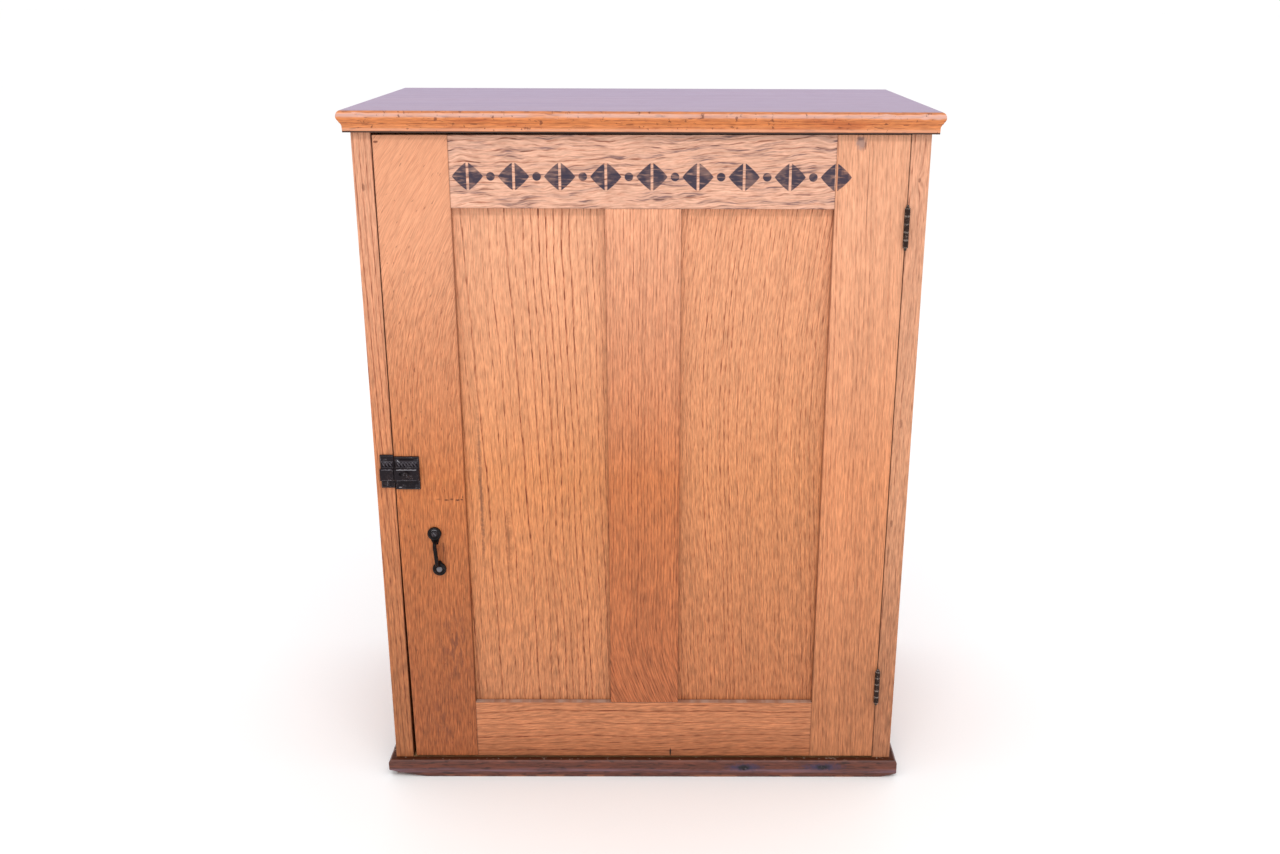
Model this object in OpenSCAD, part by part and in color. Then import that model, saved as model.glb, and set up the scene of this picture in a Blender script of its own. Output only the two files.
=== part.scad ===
// Icebox: an oak cabinet with one tall framed door. Inside it is packed with cork and
// lined with zinc, with an ice chamber above two wire shelves and a drain to the floor.
// Millimetres, +Z up. The origin is on the floor, in the middle of the bounding box.

/* [Cabinet] */
// Width over the two sides
case_w = 724; // [700:1:760]
// Depth from the front edges to the back boards
case_d = 415; // [410:1:440]
// Height to the top of the top board
case_h = 952.3; // [950:0.1:970]
// Thickness of the side frames
side_t = 25; // [22:0.5:28]
// Width of the stiles in the side frames
side_stile_w = 92.5; // [80:0.5:95]
// Thickness of the top board
top_t = 26.8; // [24:0.2:30]
// How far the moulded edge of the top board overhangs
crown_reach = 14.1; // [13:0.1:16]
// Height of the base moulding
base_h = 27.5; // [27:0.5:30]
// How far the base moulding stands out
base_reach = 10; // [9:0.5:12]

/* [Door] */
// Thickness of the door frame
door_t = 22; // [21:0.5:23]
// Inner edge of the latch stile
latch_stile_in = -242; // [-245:1:-235]
// Inner edge of the hinge stile
hinge_stile_in = 244.5; // [235:0.5:246]
// Left edge of the muntin between the panels
muntin_left = -46.5; // [-55:0.5:-40]
// Right edge of the muntin between the panels
muntin_right = 50.4; // [40:0.2:55]
// Height of the top rail, measured down from the top board
top_rail_h = 94.2; // [85:0.2:96]
// Height of the bottom rail
bottom_rail_h = 89; // [85:1:95]
// How deep the door panels sit behind the frame's face
panel_recess = 8.8; // [7:0.2:9]
// Thickness of the door panels
panel_t = 6.4; // [5:0.2:7]

/* [Door gaps] */
// Gap under the door, above the base moulding
gap_under = 2; // [1.5:0.5:4]
// Gap over the door at the latch side
gap_over_latch = 3.8; // [2:0.2:5]
// Gap over the door at the hinge side
gap_over_hinge = 1.3; // [1:0.1:3]
// Gap along the upper part of the latch edge
gap_latch_high = 1.2; // [1.2:0.1:3]
// Gap at the foot of the latch edge, where the edge is planed back
gap_latch_low = 4.6; // [3:0.2:6]
// Height where the planed stretch of the latch edge begins
planed_z = 400; // [200:10:420]
// Gap along the hinge edge
gap_hinge = 0.8; // [0.8:0.1:1.2]

/* [Hinges] */
// Length of each hinge barrel
hinge_h = 50.8; // [45:0.2:64]
// Radius of the hinge barrel
barrel_r = 3.5; // [3.2:0.1:3.5]
// How far the pivot stands in front of the door
pivot_out = 3.6; // [3.6:0.1:4]
// Height of the middle of the lower hinge
low_hinge_z = 146.5; // [130:0.5:200]
// Height of the middle of the upper hinge
high_hinge_z = 808.5; // [700:0.5:812]

/* [Latch] */
// Height of the middle of the latch bolt
bolt_z = 472.75; // [460:0.25:500]
// How far the bolt slides into the keeper
bolt_travel = 7; // [5:0.5:7]

/* [Pull] */
// Reach of the pull's bar in front of the door
pull_reach = 16; // [16:0.5:20]
// Radius of the bar
pull_bar_r = 2.7; // [2.4:0.1:3]

/* [Insulation and lining] */
// Thickness of the cork
cork_t = 38; // [32:1:38]
// Thickness of the zinc sheet
zinc_t = 1; // [0.8:0.1:1.2]
// Gap between the lined opening and the plug on the door
plug_gap = 6; // [5.5:0.5:8]

/* [Inside] */
// Height of the top of the lower shelf's cleats
low_shelf_z = 245; // [200:1:280]
// Height of the top of the upper shelf's cleats
high_shelf_z = 420; // [380:1:450]
// Height of the top of the ice bearers' cleats
ice_z = 575; // [540:1:590]
// Distance between the wires of a shelf
wire_pitch = 25.4; // [20:0.2:40]
// Radius of the drain's bore
drain_r = 9; // [8:0.5:9]

/* [Hidden] */
$fn = 48;

oak = "#c98a54";
dark_oak = "#7a4a33";
pine = "#c9ad82";
cork = "#a8794e";
zinc = "#a9adb0";
tin_wire = "#b9bcc0";
black_iron = "#2c2a2c";
felt = "#8d8270";

// front faces of the case and the door, in the part's own frame
front_y = (pull_reach - case_d) / 2;
over = 1;                                  // how far a cutter runs past a face
slip = 0.1;                                // gap of a sliding fit
side_out = case_w / 2;
side_in = side_out - side_t;
under_top = case_h - top_t;

// side frames
side_x = [side_in, side_out];
frame_z = [0, under_top];
side_panel_t = 7;
side_panel_recess = 9;
side_panel_x = [side_out - side_panel_recess - side_panel_t, side_out - side_panel_recess];
side_low_rail = 120;
side_high_rail = under_top - side_stile_w;
groove = 8;                                // depth of every panel groove
side_tenon = 25;
haunch = 12;                               // how far each tenon stays inside its rail's edges
dado = 6;
bottom_t = 26.5;
back_t = 16;
back_y = case_d - back_t;
back_lap = 12;                             // width of the rabbet that holds the back boards
back_n = 6;
tongue = 4.5;
tongue_t = 5;
board_gap = 0.5;

// crown and base mouldings
nose_r = 6.6;
crown_foot = 8;
crown_fillet = 6.8;
cove_r = 7.2;
cove_at = [0.3, 0.9];                      // the cove's place past the fillet's top
cove_turn = [187, 122];
nose_turn = [-55, 90];
base_round = 5.5;
base_wear = 1;
nail_at = [[148.4, 14.2], [264.2, 15.9]];
nail_r = 1.3;
nail_head_r = 3;
nail_head_t = 1.2;
nail_len = 40;

// door outline
door_bottom = base_h + gap_under;
hinge_edge = side_in - gap_hinge;
door_outline = [
    [gap_latch_low - side_in, door_bottom],
    [hinge_edge, door_bottom],
    [hinge_edge, under_top - gap_over_hinge],
    [gap_latch_high - side_in, under_top - gap_over_latch],
    [gap_latch_high - side_in, planed_z]
];
rail_bottom = door_bottom + bottom_rail_h;  // top edge of the bottom rail
rail_top = under_top - top_rail_h;          // lower edge of the top rail
panel_y = [panel_recess, panel_recess + panel_t];
door_tenon = 40;
muntin_tenon = 25;

// hinges
pivot_x = side_in - gap_hinge / 2;
leaf_gap = 0.2;                            // from the pivot's plane to each leaf
leaf_t = 1.6;
leaf_w = 20;
leaf_screw_at = 0.55;                      // the screws' place across the leaf
knuckle_h = hinge_h / 5;
knuckle_gap = 0.2;
pin_r = 1.25;
pin_bore = 1.3;
tip_r = 2;
tip_collar = [tip_r + 0.3, 0.8];           // radius and height of the collar under each tip
hinge_zs = [low_hinge_z - hinge_h / 2, high_hinge_z - hinge_h / 2];

// latch and keeper
plate_t = 3;
latch_out = 9.5;
jamb = -side_in;                           // the side's inner face, beside the latch
latch_x = [jamb + 2, jamb + 35.2];
latch_z = [bolt_z - 22.85, bolt_z + 24.25];
keeper_x = [jamb - 17.3, jamb + 1];
keeper_z = [bolt_z - 20.45, bolt_z + 26.55];
housing_z = [bolt_z - 8.25, bolt_z + 8.25];
bolt_half = 6;
bolt_len = 24;
bolt_y = [-7.4, -2.2];
channel_y = [-7.5, -1];
channel_half = bolt_half + slip;
channel_end = jamb + 34;
knob_x = jamb + 17.6;
knob_z = bolt_z + 1.5;
stem_r = 2;
stem_slot = stem_r + 0.15;                 // half the width of the stem's slot
stem_slot_y = -5;                          // where the slot opens into the channel
rivet_r = 1.5;
rivet_len = 4;
knob_r = 4.6;
knob_out = 15.5;
knob_gap = 0.6;                            // between the knob and the housing
knob_round = 1.6;
spring_len = 14;
spring_w = 8;
spring_rise = 0.7;
spring_t = 0.36;
spring_gap = 0.02;
spring_mid = latch_x[0] + bolt_len - spring_len / 2 - 2;
pocket_play = 0.3;                         // gap around the bolt in the keeper
pocket_end = 1.5;                          // and past its end

// pull
pull_top = [jamb + 50.3, 384];
pull_foot = [jamb + 54.5, 330.8];
pull_mid = (pull_top + pull_foot) / 2;
pull_half = norm(pull_top - pull_foot) / 2;
pull_tilt = atan2(pull_foot[0] - pull_top[0], pull_top[1] - pull_foot[1]);
flange_r = 9.5;
flange_t = 3.2;
shoulder_angle = 50;                       // where the tail's sides leave the flange
leg_z = [-18, 15];                         // the bar's two legs, from the middle of the pull
bend_r = 6;

// wood screws: [radius of head, height of head, radius of shank, length]
leaf_screw = [2.9, 1.5, 1.4, 16];
plate_screw = [3, 1.6, 1.4, 13];
pull_screw = [4.2, 2.2, 1.9, 19];
slot_half = 0.35;                          // half the width of a screw's slot

// inside
cork_in = side_in - cork_t;
lined = cork_in - zinc_t;
gasket_t = 3;
gasket_w = 20;
gasket_in = [5, 6.5];                      // from the sides, and from the bottom board and the top
breaker_y = [door_t + gasket_t, door_t + gasket_t + 16];
cork_floor = bottom_t + cork_t;
cork_roof = under_top - cork_t;
cork_back = back_y - cork_t;
liner_floor = cork_floor + zinc_t;
plug_x = lined - plug_gap - zinc_t;
plug_z = [liner_floor + plug_gap, cork_roof - zinc_t - plug_gap];
plug_y = [door_t, door_t + 26];
plug_rim = 15;
cleat_y = [60, 320];
cleat_t = 1.5;
cleat_h = 20;
cleat_w = 14;
shelf_y = [65, 305];
shelf_half = lined - 6;
rim_r = 3;                                 // a shelf's side wires
cross_r = 2.8;                             // its front and back wires
cross_lift = 0.7;
brace_r = 2.5;                             // the two wires under its middle
brace_drop = 0.4;
wire_r = 1.5;
wire_lift = 2.2;
bearer_y = [70, 298];
bearer_t = 20;
bearer_h = 25;
pan_z = ice_z + bearer_h;
pan_x = 262;
pan_y = [55, 350];
pan_h = 22;
pan_t = 1.5;
collar_h = 20;
drain_at = [-225, 332];
pipe_r = drain_r + 1;
pipe_bore = drain_r + 0.2;
socket_r = pipe_r + slip;
spout_r = drain_r + 1.5;
spout_foot = 1;
socket_wall = 1.9;                         // the ferrule's socket for the pipe
socket_h = 20;
ferrule_t = 2;                             // its flange on the lining
pipe_foot = liner_floor + 4.5;
pipe_top = pan_z - 0.5;
batten_y = [100, 270];
batten_w = 18;
batten_h = 12;
batten_half = 240;
slat_y = [70, 318];
slat_w = 40;
slat_h = 10;
slat_pitch = 72;

// ---------- helpers ----------

// Places what is drawn from the front plane, with y = 0 at the case's front edges
module at_front() { translate([0, front_y, 0]) children(); }

// A block between three pairs of limits
module block(x, y, z) {
    translate([x[0], y[0], z[0]]) cube([x[1] - x[0], y[1] - y[0], z[1] - z[0]]);
}

// Extrudes a (y, z) outline from x[0] to x[1]
module along_x(x) { translate([x[0], 0, 0]) rotate([90, 0, 90]) linear_extrude(x[1] - x[0]) children(); }

// Extrudes an (x, z) outline from y[0] to y[1]
module along_y(y) { translate([0, y[1], 0]) rotate([90, 0, 0]) linear_extrude(y[1] - y[0]) children(); }

// Draws the right-hand piece on the left
module left() { mirror([1, 0, 0]) children(); }

// Stands what is drawn along +Z on the door's face, pointing out of it
module on_face(x, z, out = 0) { translate([x, -out, z]) rotate([90, 0, 0]) children(); }

function arc(c, r, from, to, steps = 8) =
    [for (i = [0:steps]) let (a = from + (to - from) * i / steps) c + r * [cos(a), sin(a)]];
function reversed(list) = [for (i = [len(list) - 1:-1:0]) list[i]];
function mirrored(list) = [for (p = reversed(list)) [-p[0], p[1]]];
function shifted(list, by) = [for (p = list) p + by];

// A flat-headed wood screw, its head's top at z = 0, pointing down
module wood_screw(s, turn = 0) {
    rotate([0, 0, turn]) difference() {
        rotate_extrude() polygon([
            [0, 0], [s[0], 0], [s[2], -s[1]], [s[2], 2 * s[2] - s[3]], [0, -s[3]]
        ]);
        block([-s[0] - over, s[0] + over], [-slot_half, slot_half], [-s[1] / 2, over]);
    }
}

// The countersunk hole for that screw, through a plate
module screw_seat(s, through) {
    rotate_extrude() polygon([
        [0, over], [s[0], over], [s[0], 0], [s[2], -s[1]], [s[2], -through - over], [0, -through - over]
    ]);
}

// ---------- the top and the mouldings ----------

// Moulded edge as [overhang, z], from its foot to the flat of the top
function crown_edge() = concat(
    [[crown_foot, under_top], [crown_foot, under_top + crown_fillet]],
    arc([crown_foot + cove_r, under_top + crown_fillet] + cove_at, cove_r, cove_turn[0], cove_turn[1], 5),
    arc([crown_reach, case_h] - nose_r * [1, 1], nose_r, nose_turn[0], nose_turn[1], 12)
);

module top_board() {
    edge = crown_edge();
    right = shifted(edge, [side_out, 0]);
    color(oak) at_front() intersection() {
        along_x([-case_w, case_w])
            polygon(concat([[case_d, case_h], [case_d, under_top]], [for (p = edge) [-p[0], p[1]]]));
        along_y([-2 * crown_reach, case_d + over]) polygon(concat(right, mirrored(right)));
    }
}

function base_edge() = concat(
    [[0, 0], [base_reach - base_wear, 0], [base_reach, 3 * base_wear]],
    arc([base_reach - base_round, base_h - base_round], base_round, 0, 90, 6),
    [[0, base_h]]
);

// The front length of base moulding, mitred at both ends
module base_mould_front() {
    color(dark_oak) at_front() intersection() {
        along_x([-case_w, case_w]) polygon([for (p = base_edge()) [-p[0], p[1]]]);
        translate([0, 0, -over]) linear_extrude(base_h + 2 * over) polygon([
            [-side_out, 0], [side_out, 0],
            [side_out + base_reach, -base_reach], [-side_out - base_reach, -base_reach]
        ]);
    }
}

module base_mould_right() {
    color(dark_oak) at_front() intersection() {
        along_y([-2 * base_reach, case_d]) polygon(shifted(base_edge(), [side_out, 0]));
        translate([0, 0, -over]) linear_extrude(base_h + 2 * over) polygon([
            [side_out, 0], [side_out, case_d],
            [side_out + base_reach, case_d], [side_out + base_reach, -base_reach]
        ]);
    }
}

module base_mould_left() { left() base_mould_right(); }

// Nails through the front moulding into the bottom board
module base_nails() {
    color(black_iron) at_front() for (at = nail_at)
        on_face(at[0], at[1], base_reach + 0.3) rotate_extrude() polygon([
            [0, 0], [nail_head_r - 0.8, 0], [nail_head_r, -0.3], [nail_head_r, -nail_head_t],
            [nail_r, -nail_head_t], [nail_r, 2 * nail_r - nail_len], [0, -nail_len]
        ]);
}

// ---------- the side frames, drawn on the right ----------

side_tenon_zs = [[bottom_t + 4, side_low_rail - haunch], [side_high_rail + haunch, under_top - haunch]];
side_panel_z = [side_low_rail - groove, side_high_rail + groove];
side_mid_y = [side_stile_w, case_d - side_stile_w];

// The groove and mortises in a stile whose inner edge is at y, cut towards dir
module side_stile_joints(y, dir) {
    reach = function (depth) dir > 0 ? [y - over, y + depth] : [y - depth, y + over];
    block(side_panel_x, reach(groove), side_panel_z);
    for (z = side_tenon_zs) block(side_panel_x, reach(side_tenon), z);
}

// The slot that takes the end of the bottom board
module bottom_dado() { block([side_in - over, side_in + dado], [-over, back_y], [-over, bottom_t]); }

module side_front_stile() {
    difference() {
        block(side_x, [0, side_stile_w], frame_z);
        side_stile_joints(side_mid_y[0], -1);
        bottom_dado();
    }
}

module side_back_stile() {
    difference() {
        block(side_x, [side_mid_y[1], case_d], frame_z);
        side_stile_joints(side_mid_y[1], 1);
        bottom_dado();
        block([side_in - over, side_in + back_lap], [back_y, case_d + over], [-over, under_top + over]);
    }
}

// A rail over z, grooved for the panel between groove_z and tenoned over tenon_z
module side_rail(z, groove_z, tenon_z) {
    difference() {
        block(side_x, side_mid_y, z);
        block(side_panel_x, [side_mid_y[0] - over, side_mid_y[1] + over], groove_z);
        bottom_dado();
    }
    block(side_panel_x, [side_mid_y[0] - side_tenon, side_mid_y[1] + side_tenon], tenon_z);
}

module side_top_rail() {
    side_rail([side_high_rail, under_top], [side_high_rail - over, side_panel_z[1]], side_tenon_zs[1]);
}

module side_bottom_rail() {
    side_rail([0, side_low_rail], [side_panel_z[0], side_low_rail + over], side_tenon_zs[0]);
}

module side_panel() {
    block(side_panel_x, [side_mid_y[0] - groove, side_mid_y[1] + groove], side_panel_z);
}

module left_front_stile() { color(oak) at_front() left() side_front_stile(); }
module left_back_stile() { color(oak) at_front() left() side_back_stile(); }
module left_top_rail() { color(oak) at_front() left() side_top_rail(); }
module left_bottom_rail() { color(oak) at_front() left() side_bottom_rail(); }
module left_side_panel() { color(oak) at_front() left() side_panel(); }

module right_front_stile() {
    color(oak) at_front() difference() {
        side_front_stile();
        // seats for the hinge leaves
        for (z = hinge_zs)
            block([side_in - over, pivot_x + leaf_gap + leaf_t], [-over, leaf_w], [z, z + hinge_h]);
    }
}
module right_back_stile() { color(oak) at_front() side_back_stile(); }
module right_top_rail() { color(oak) at_front() side_top_rail(); }
module right_bottom_rail() { color(oak) at_front() side_bottom_rail(); }
module right_side_panel() { color(oak) at_front() side_panel(); }

// ---------- the bottom and the back ----------

module drain_hole(z) {
    translate([drain_at[0], drain_at[1], z[0] - over])
        cylinder(r = spout_r + slip, h = z[1] - z[0] + 2 * over);
}

module bottom_board() {
    color(pine) at_front() difference() {
        block([-side_in - dado, side_in + dado], [0, back_y], [0, bottom_t]);
        drain_hole([0, bottom_t]);
    }
}

// Upright boards, tongued and grooved, in the rabbets of the back stiles
module back_boards() {
    half = side_in + back_lap;
    pitch = 2 * half / back_n;
    mid = back_y + back_t / 2;
    color(pine) at_front() for (i = [0:back_n - 1]) {
        x = [-half + i * pitch + (i > 0 ? board_gap / 2 : 0),
             -half + (i + 1) * pitch - (i < back_n - 1 ? board_gap / 2 : 0)];
        difference() {
            block(x, [back_y, case_d], frame_z);
            if (i > 0)
                block([x[0] - over, x[0] + tongue], grown([mid - tongue_t / 2, mid + tongue_t / 2], slip),
                      [-over, under_top + over]);
        }
        if (i < back_n - 1)
            block([x[1] - over, x[1] + tongue], [mid - tongue_t / 2, mid + tongue_t / 2], frame_z);
    }
}

// ---------- insulation and lining ----------

// The strips around the opening, which hide the edges of the cork
module breaker_strips() {
    color(oak) at_front() {
        for (x = [[-side_in, -cork_in], [cork_in, side_in]]) block(x, breaker_y, [bottom_t, under_top]);
        for (z = [[bottom_t, cork_floor], [cork_roof, under_top]])
            block([board_gap - cork_in, cork_in - board_gap], breaker_y, z);
    }
}

cork_y = [breaker_y[1], back_y];

module side_cork() { block([cork_in, side_in], cork_y, [cork_floor, cork_roof]); }
module insulation_right() { color(cork) at_front() side_cork(); }
module insulation_left() { color(cork) at_front() left() side_cork(); }
module insulation_back() {
    color(cork) at_front() block([-cork_in, cork_in], [cork_back, back_y], [cork_floor, cork_roof]);
}
module insulation_top() {
    color(cork) at_front() block([-side_in, side_in], cork_y, [cork_roof, under_top]);
}
module insulation_bottom() {
    color(cork) at_front() difference() {
        block([-side_in, side_in], cork_y, [bottom_t, cork_floor]);
        drain_hole([bottom_t, cork_floor]);
    }
}

// A zinc box, open at the front
module liner() {
    color(zinc) at_front() difference() {
        block([-cork_in, cork_in], [breaker_y[0], cork_back], [cork_floor, cork_roof]);
        block([-lined, lined], [breaker_y[0] - over, cork_back - zinc_t],
              [liner_floor, cork_roof - zinc_t]);
        drain_hole([cork_floor, liner_floor]);
    }
}

// ---------- inside ----------

// Angle strips on the lining, three on each side
module shelf_cleats() {
    angle = [
        [0, 0], [0, -cleat_h], [-cleat_t, -cleat_h], [-cleat_t, -cleat_t], [-cleat_w, -cleat_t],
        [-cleat_w, 0]
    ];
    color(zinc) at_front() for (z = [low_shelf_z, high_shelf_z, ice_z]) {
        right = shifted(angle, [lined, z]);
        along_y(cleat_y) polygon(right);
        along_y(cleat_y) polygon(mirrored(right));
    }
}

// Round wires of a shelf, along y at x and along x at y
module wire_along_y(x, z, r, y) {
    translate([x, y[0], z]) rotate([-90, 0, 0]) cylinder(r = r, h = y[1] - y[0]);
}
module wire_along_x(y, z, r) {
    translate([-shelf_half, y, z]) rotate([0, 90, 0]) cylinder(r = r, h = 2 * shelf_half);
}

module wire_shelf(level) {
    z = level + rim_r;
    wires = floor((2 * shelf_half - wire_pitch) / wire_pitch);
    color(tin_wire) at_front() {
        for (x = [-shelf_half, shelf_half]) wire_along_y(x, z, rim_r, grown(shelf_y, rim_r));
        for (y = shelf_y) wire_along_x(y, z + cross_lift, cross_r);
        for (part = [1, 2])
            wire_along_x(shelf_y[0] + (shelf_y[1] - shelf_y[0]) * part / 3, z - brace_drop, brace_r);
        for (i = [0:wires - 1])
            wire_along_y((i - (wires - 1) / 2) * wire_pitch, z + wire_lift, wire_r, shelf_y);
    }
}

module upper_wire_shelf() { wire_shelf(high_shelf_z); }
module lower_wire_shelf() { wire_shelf(low_shelf_z); }

module ice_bearers() {
    color(oak) at_front() for (y = bearer_y)
        block([1 - lined, lined - 1], [y, y + bearer_t], [ice_z, pan_z]);
}

// A shallow tray with a collar over the drain pipe
module ice_pan() {
    color(zinc) at_front() difference() {
        union() {
            block([-pan_x, pan_x], pan_y, [pan_z, pan_z + pan_h]);
            translate([drain_at[0], drain_at[1], pan_z - collar_h])
                cylinder(r = socket_r + pan_t, h = collar_h + over);
        }
        block([-pan_x + pan_t, pan_x - pan_t], [pan_y[0] + pan_t, pan_y[1] - pan_t],
              [pan_z + pan_t, pan_z + pan_h + over]);
        translate([drain_at[0], drain_at[1], pan_z - collar_h - over])
            cylinder(r = socket_r, h = collar_h + over);
        translate([drain_at[0], drain_at[1], pan_z - over]) cylinder(r = pipe_bore, h = pan_h);
    }
}

module ice_grate_battens() {
    color(oak) at_front() for (y = batten_y)
        block([-batten_half, batten_half], [y, y + batten_w], [pan_z + pan_t, pan_z + pan_t + batten_h]);
}

module ice_grate_slats() {
    foot = pan_z + pan_t + batten_h;
    color(oak) at_front() for (i = [-3:3])
        block([i * slat_pitch - slat_w / 2, i * slat_pitch + slat_w / 2], slat_y, [foot, foot + slat_h]);
}

module drain_pipe() {
    color(zinc) at_front() translate([drain_at[0], drain_at[1], pipe_foot]) difference() {
        cylinder(r = pipe_r, h = pipe_top - pipe_foot);
        translate([0, 0, -over]) cylinder(r = pipe_bore, h = pipe_top - pipe_foot + 2 * over);
    }
}

// The ferrule through the floor: a socket for the pipe above, a spout below
module floor_drain() {
    lip = socket_r + socket_wall;
    color(zinc) at_front() translate([drain_at[0], drain_at[1], 0]) rotate_extrude() polygon([
        [drain_r, spout_foot], [spout_r, spout_foot], [spout_r, liner_floor], [2 * lip, liner_floor],
        [2 * lip, liner_floor + ferrule_t], [lip, liner_floor + ferrule_t], [lip, pipe_foot + socket_h],
        [socket_r, pipe_foot + socket_h], [socket_r, pipe_foot], [drain_r, pipe_foot]
    ]);
}

// ---------- the door ----------

// The part of the door's outline inside x and z, at the frame's thickness
module door_board(x, z) {
    intersection() {
        along_y([0, door_t]) polygon(door_outline);
        block(x, [-over, door_t + over], z);
    }
}

left_panel_x = [latch_stile_in, muntin_left];
right_panel_x = [muntin_right, hinge_stile_in];
door_panel_z = [rail_bottom, rail_top];
low_tenon_z = [door_bottom + haunch, rail_bottom - haunch];
high_tenon_z = [rail_top + haunch, under_top - gap_over_latch - haunch];

// Grows a pair of limits at both ends
function grown(limits, by) = [limits[0] - by, limits[1] + by];

module door_left_stile() {
    color(oak) at_front() difference() {
        door_board([-case_w, latch_stile_in], [0, case_h]);
        block([latch_stile_in - groove, latch_stile_in + over], panel_y, grown(door_panel_z, groove));
        for (z = [low_tenon_z, high_tenon_z])
            block([latch_stile_in - door_tenon, latch_stile_in + over], panel_y, z);
    }
}

module door_right_stile() {
    color(oak) at_front() difference() {
        door_board([hinge_stile_in, case_w], [0, case_h]);
        block([hinge_stile_in - over, hinge_stile_in + groove], panel_y, grown(door_panel_z, groove));
        for (z = [low_tenon_z, high_tenon_z])
            block([hinge_stile_in - over, hinge_stile_in + door_tenon], panel_y, z);
        // seats for the hinge leaves
        for (z = hinge_zs)
            block([pivot_x - leaf_gap - leaf_t, side_in], [-over, leaf_w], [z, z + hinge_h]);
    }
}

// A rail between the stiles: groove_z and mortise_z are cut, tenon_z runs into the stiles
module door_rail(z, groove_z, mortise_z, tenon_z) {
    difference() {
        door_board([latch_stile_in, hinge_stile_in], z);
        block([latch_stile_in - over, muntin_left + groove], panel_y, groove_z);
        block([muntin_right - groove, hinge_stile_in + over], panel_y, groove_z);
        block([muntin_left + haunch, muntin_right - haunch], panel_y, mortise_z);
    }
    block([latch_stile_in - door_tenon, latch_stile_in + over], panel_y, tenon_z);
    block([hinge_stile_in - over, hinge_stile_in + door_tenon], panel_y, tenon_z);
}

module door_top_rail() {
    color(oak) at_front() door_rail([rail_top, case_h], [rail_top - over, rail_top + groove],
                                    [rail_top - over, rail_top + muntin_tenon], high_tenon_z);
}

module door_bottom_rail() {
    color(oak) at_front() door_rail([0, rail_bottom], [rail_bottom - groove, rail_bottom + over],
                                    [rail_bottom - muntin_tenon, rail_bottom + over], low_tenon_z);
}

module door_muntin() {
    color(oak) at_front() {
        difference() {
            block([muntin_left, muntin_right], [0, door_t], door_panel_z);
            block([muntin_left - over, muntin_left + groove], panel_y, grown(door_panel_z, over));
            block([muntin_right - groove, muntin_right + over], panel_y, grown(door_panel_z, over));
        }
        block([muntin_left + haunch, muntin_right - haunch], panel_y, grown(door_panel_z, muntin_tenon));
    }
}

module door_panel(x) {
    color(oak) at_front() block(grown(x, groove), panel_y, grown(door_panel_z, groove));
}
module door_left_panel() { door_panel(left_panel_x); }
module door_right_panel() { door_panel(right_panel_x); }

// A rectangular ring with the outer limits x and z and the given rim
module ring(x, y, z, rim) {
    difference() {
        block(x, y, z);
        block(grown(x, -rim), grown(y, over), grown(z, -rim));
    }
}

module door_plug_frame() { color(pine) at_front() ring([-plug_x, plug_x], plug_y, plug_z, plug_rim); }
module door_core() {
    color(cork) at_front() block([plug_rim - plug_x, plug_x - plug_rim], plug_y, grown(plug_z, -plug_rim));
}

// A zinc pan over the plug, open towards the door
module door_liner() {
    color(zinc) at_front() difference() {
        block([-plug_x - zinc_t, plug_x + zinc_t], [plug_y[0], plug_y[1] + zinc_t], grown(plug_z, zinc_t));
        block([-plug_x, plug_x], [plug_y[0] - over, plug_y[1]], plug_z);
    }
}

module door_gasket() {
    color(felt) at_front()
        ring([gasket_in[0] - side_in, side_in - gasket_in[0]], [door_t, door_t + gasket_t],
             [bottom_t + gasket_in[1], under_top - gasket_in[1]], gasket_w);
}

// ---------- hinges ----------

leaf_screw_zs = [hinge_h / 6, hinge_h / 2, hinge_h * 5 / 6];
leaf_screw_y = pivot_out + leaf_screw_at * leaf_w;
leaf_xs = [leaf_gap, leaf_gap + leaf_t];

// The case's leaf about the pivot, with the first, third and fifth knuckles; the door's
// leaf is its mirror image with the other two
module hinge_leaf(own) {
    difference() {
        union() {
            block(leaf_xs, [pivot_out, pivot_out + leaf_w], [0, hinge_h]);
            for (k = own) translate([0, 0, k * knuckle_h + knuckle_gap / 2]) {
                cylinder(r = barrel_r, h = knuckle_h - knuckle_gap);
                block(leaf_xs, [0, pivot_out + over], [0, knuckle_h - knuckle_gap]);
            }
        }
        translate([0, 0, -over]) cylinder(r = pin_bore, h = hinge_h + 2 * over);
        for (z = leaf_screw_zs)
            translate([leaf_gap, leaf_screw_y, z]) rotate([0, -90, 0]) screw_seat(leaf_screw, leaf_t);
    }
}

module at_hinge(i) { at_front() translate([pivot_x, -pivot_out, hinge_zs[i]]) children(); }
module case_leaf(i) { color(black_iron) at_hinge(i) hinge_leaf([0, 2, 4]); }
module door_leaf(i) { color(black_iron) at_hinge(i) left() hinge_leaf([1, 3]); }
module upper_hinge_case_leaf() { case_leaf(1); }
module lower_hinge_case_leaf() { case_leaf(0); }
module upper_hinge_door_leaf() { door_leaf(1); }
module lower_hinge_door_leaf() { door_leaf(0); }

// Each pin has a ball tip at both ends, which rests on the end knuckles
module hinge_pins() {
    reach = knuckle_gap / 2;
    color(black_iron) for (i = [0, 1]) at_hinge(i) {
        cylinder(r = pin_r, h = hinge_h);
        for (end = [[hinge_h - reach, 1], [reach, -1]])
            translate([0, 0, end[0]]) scale(end[1]) {
                cylinder(r = tip_collar[0], h = tip_collar[1]);
                translate([0, 0, tip_collar[0]]) sphere(r = tip_r);
            }
    }
}

// The three screws of one leaf, and what is drawn at both hinges
module leaf_screws() {
    for (i = [0:2])
        translate([leaf_gap, leaf_screw_y, leaf_screw_zs[i]]) rotate([0, -90, 0])
            wood_screw(leaf_screw, 40 * i);
}
module at_hinges() { color(black_iron) for (i = [0, 1]) at_hinge(i) children(); }
module hinge_case_screws() { at_hinges() leaf_screws(); }
module hinge_door_screws() { at_hinges() left() leaf_screws(); }

// ---------- latch ----------

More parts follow.
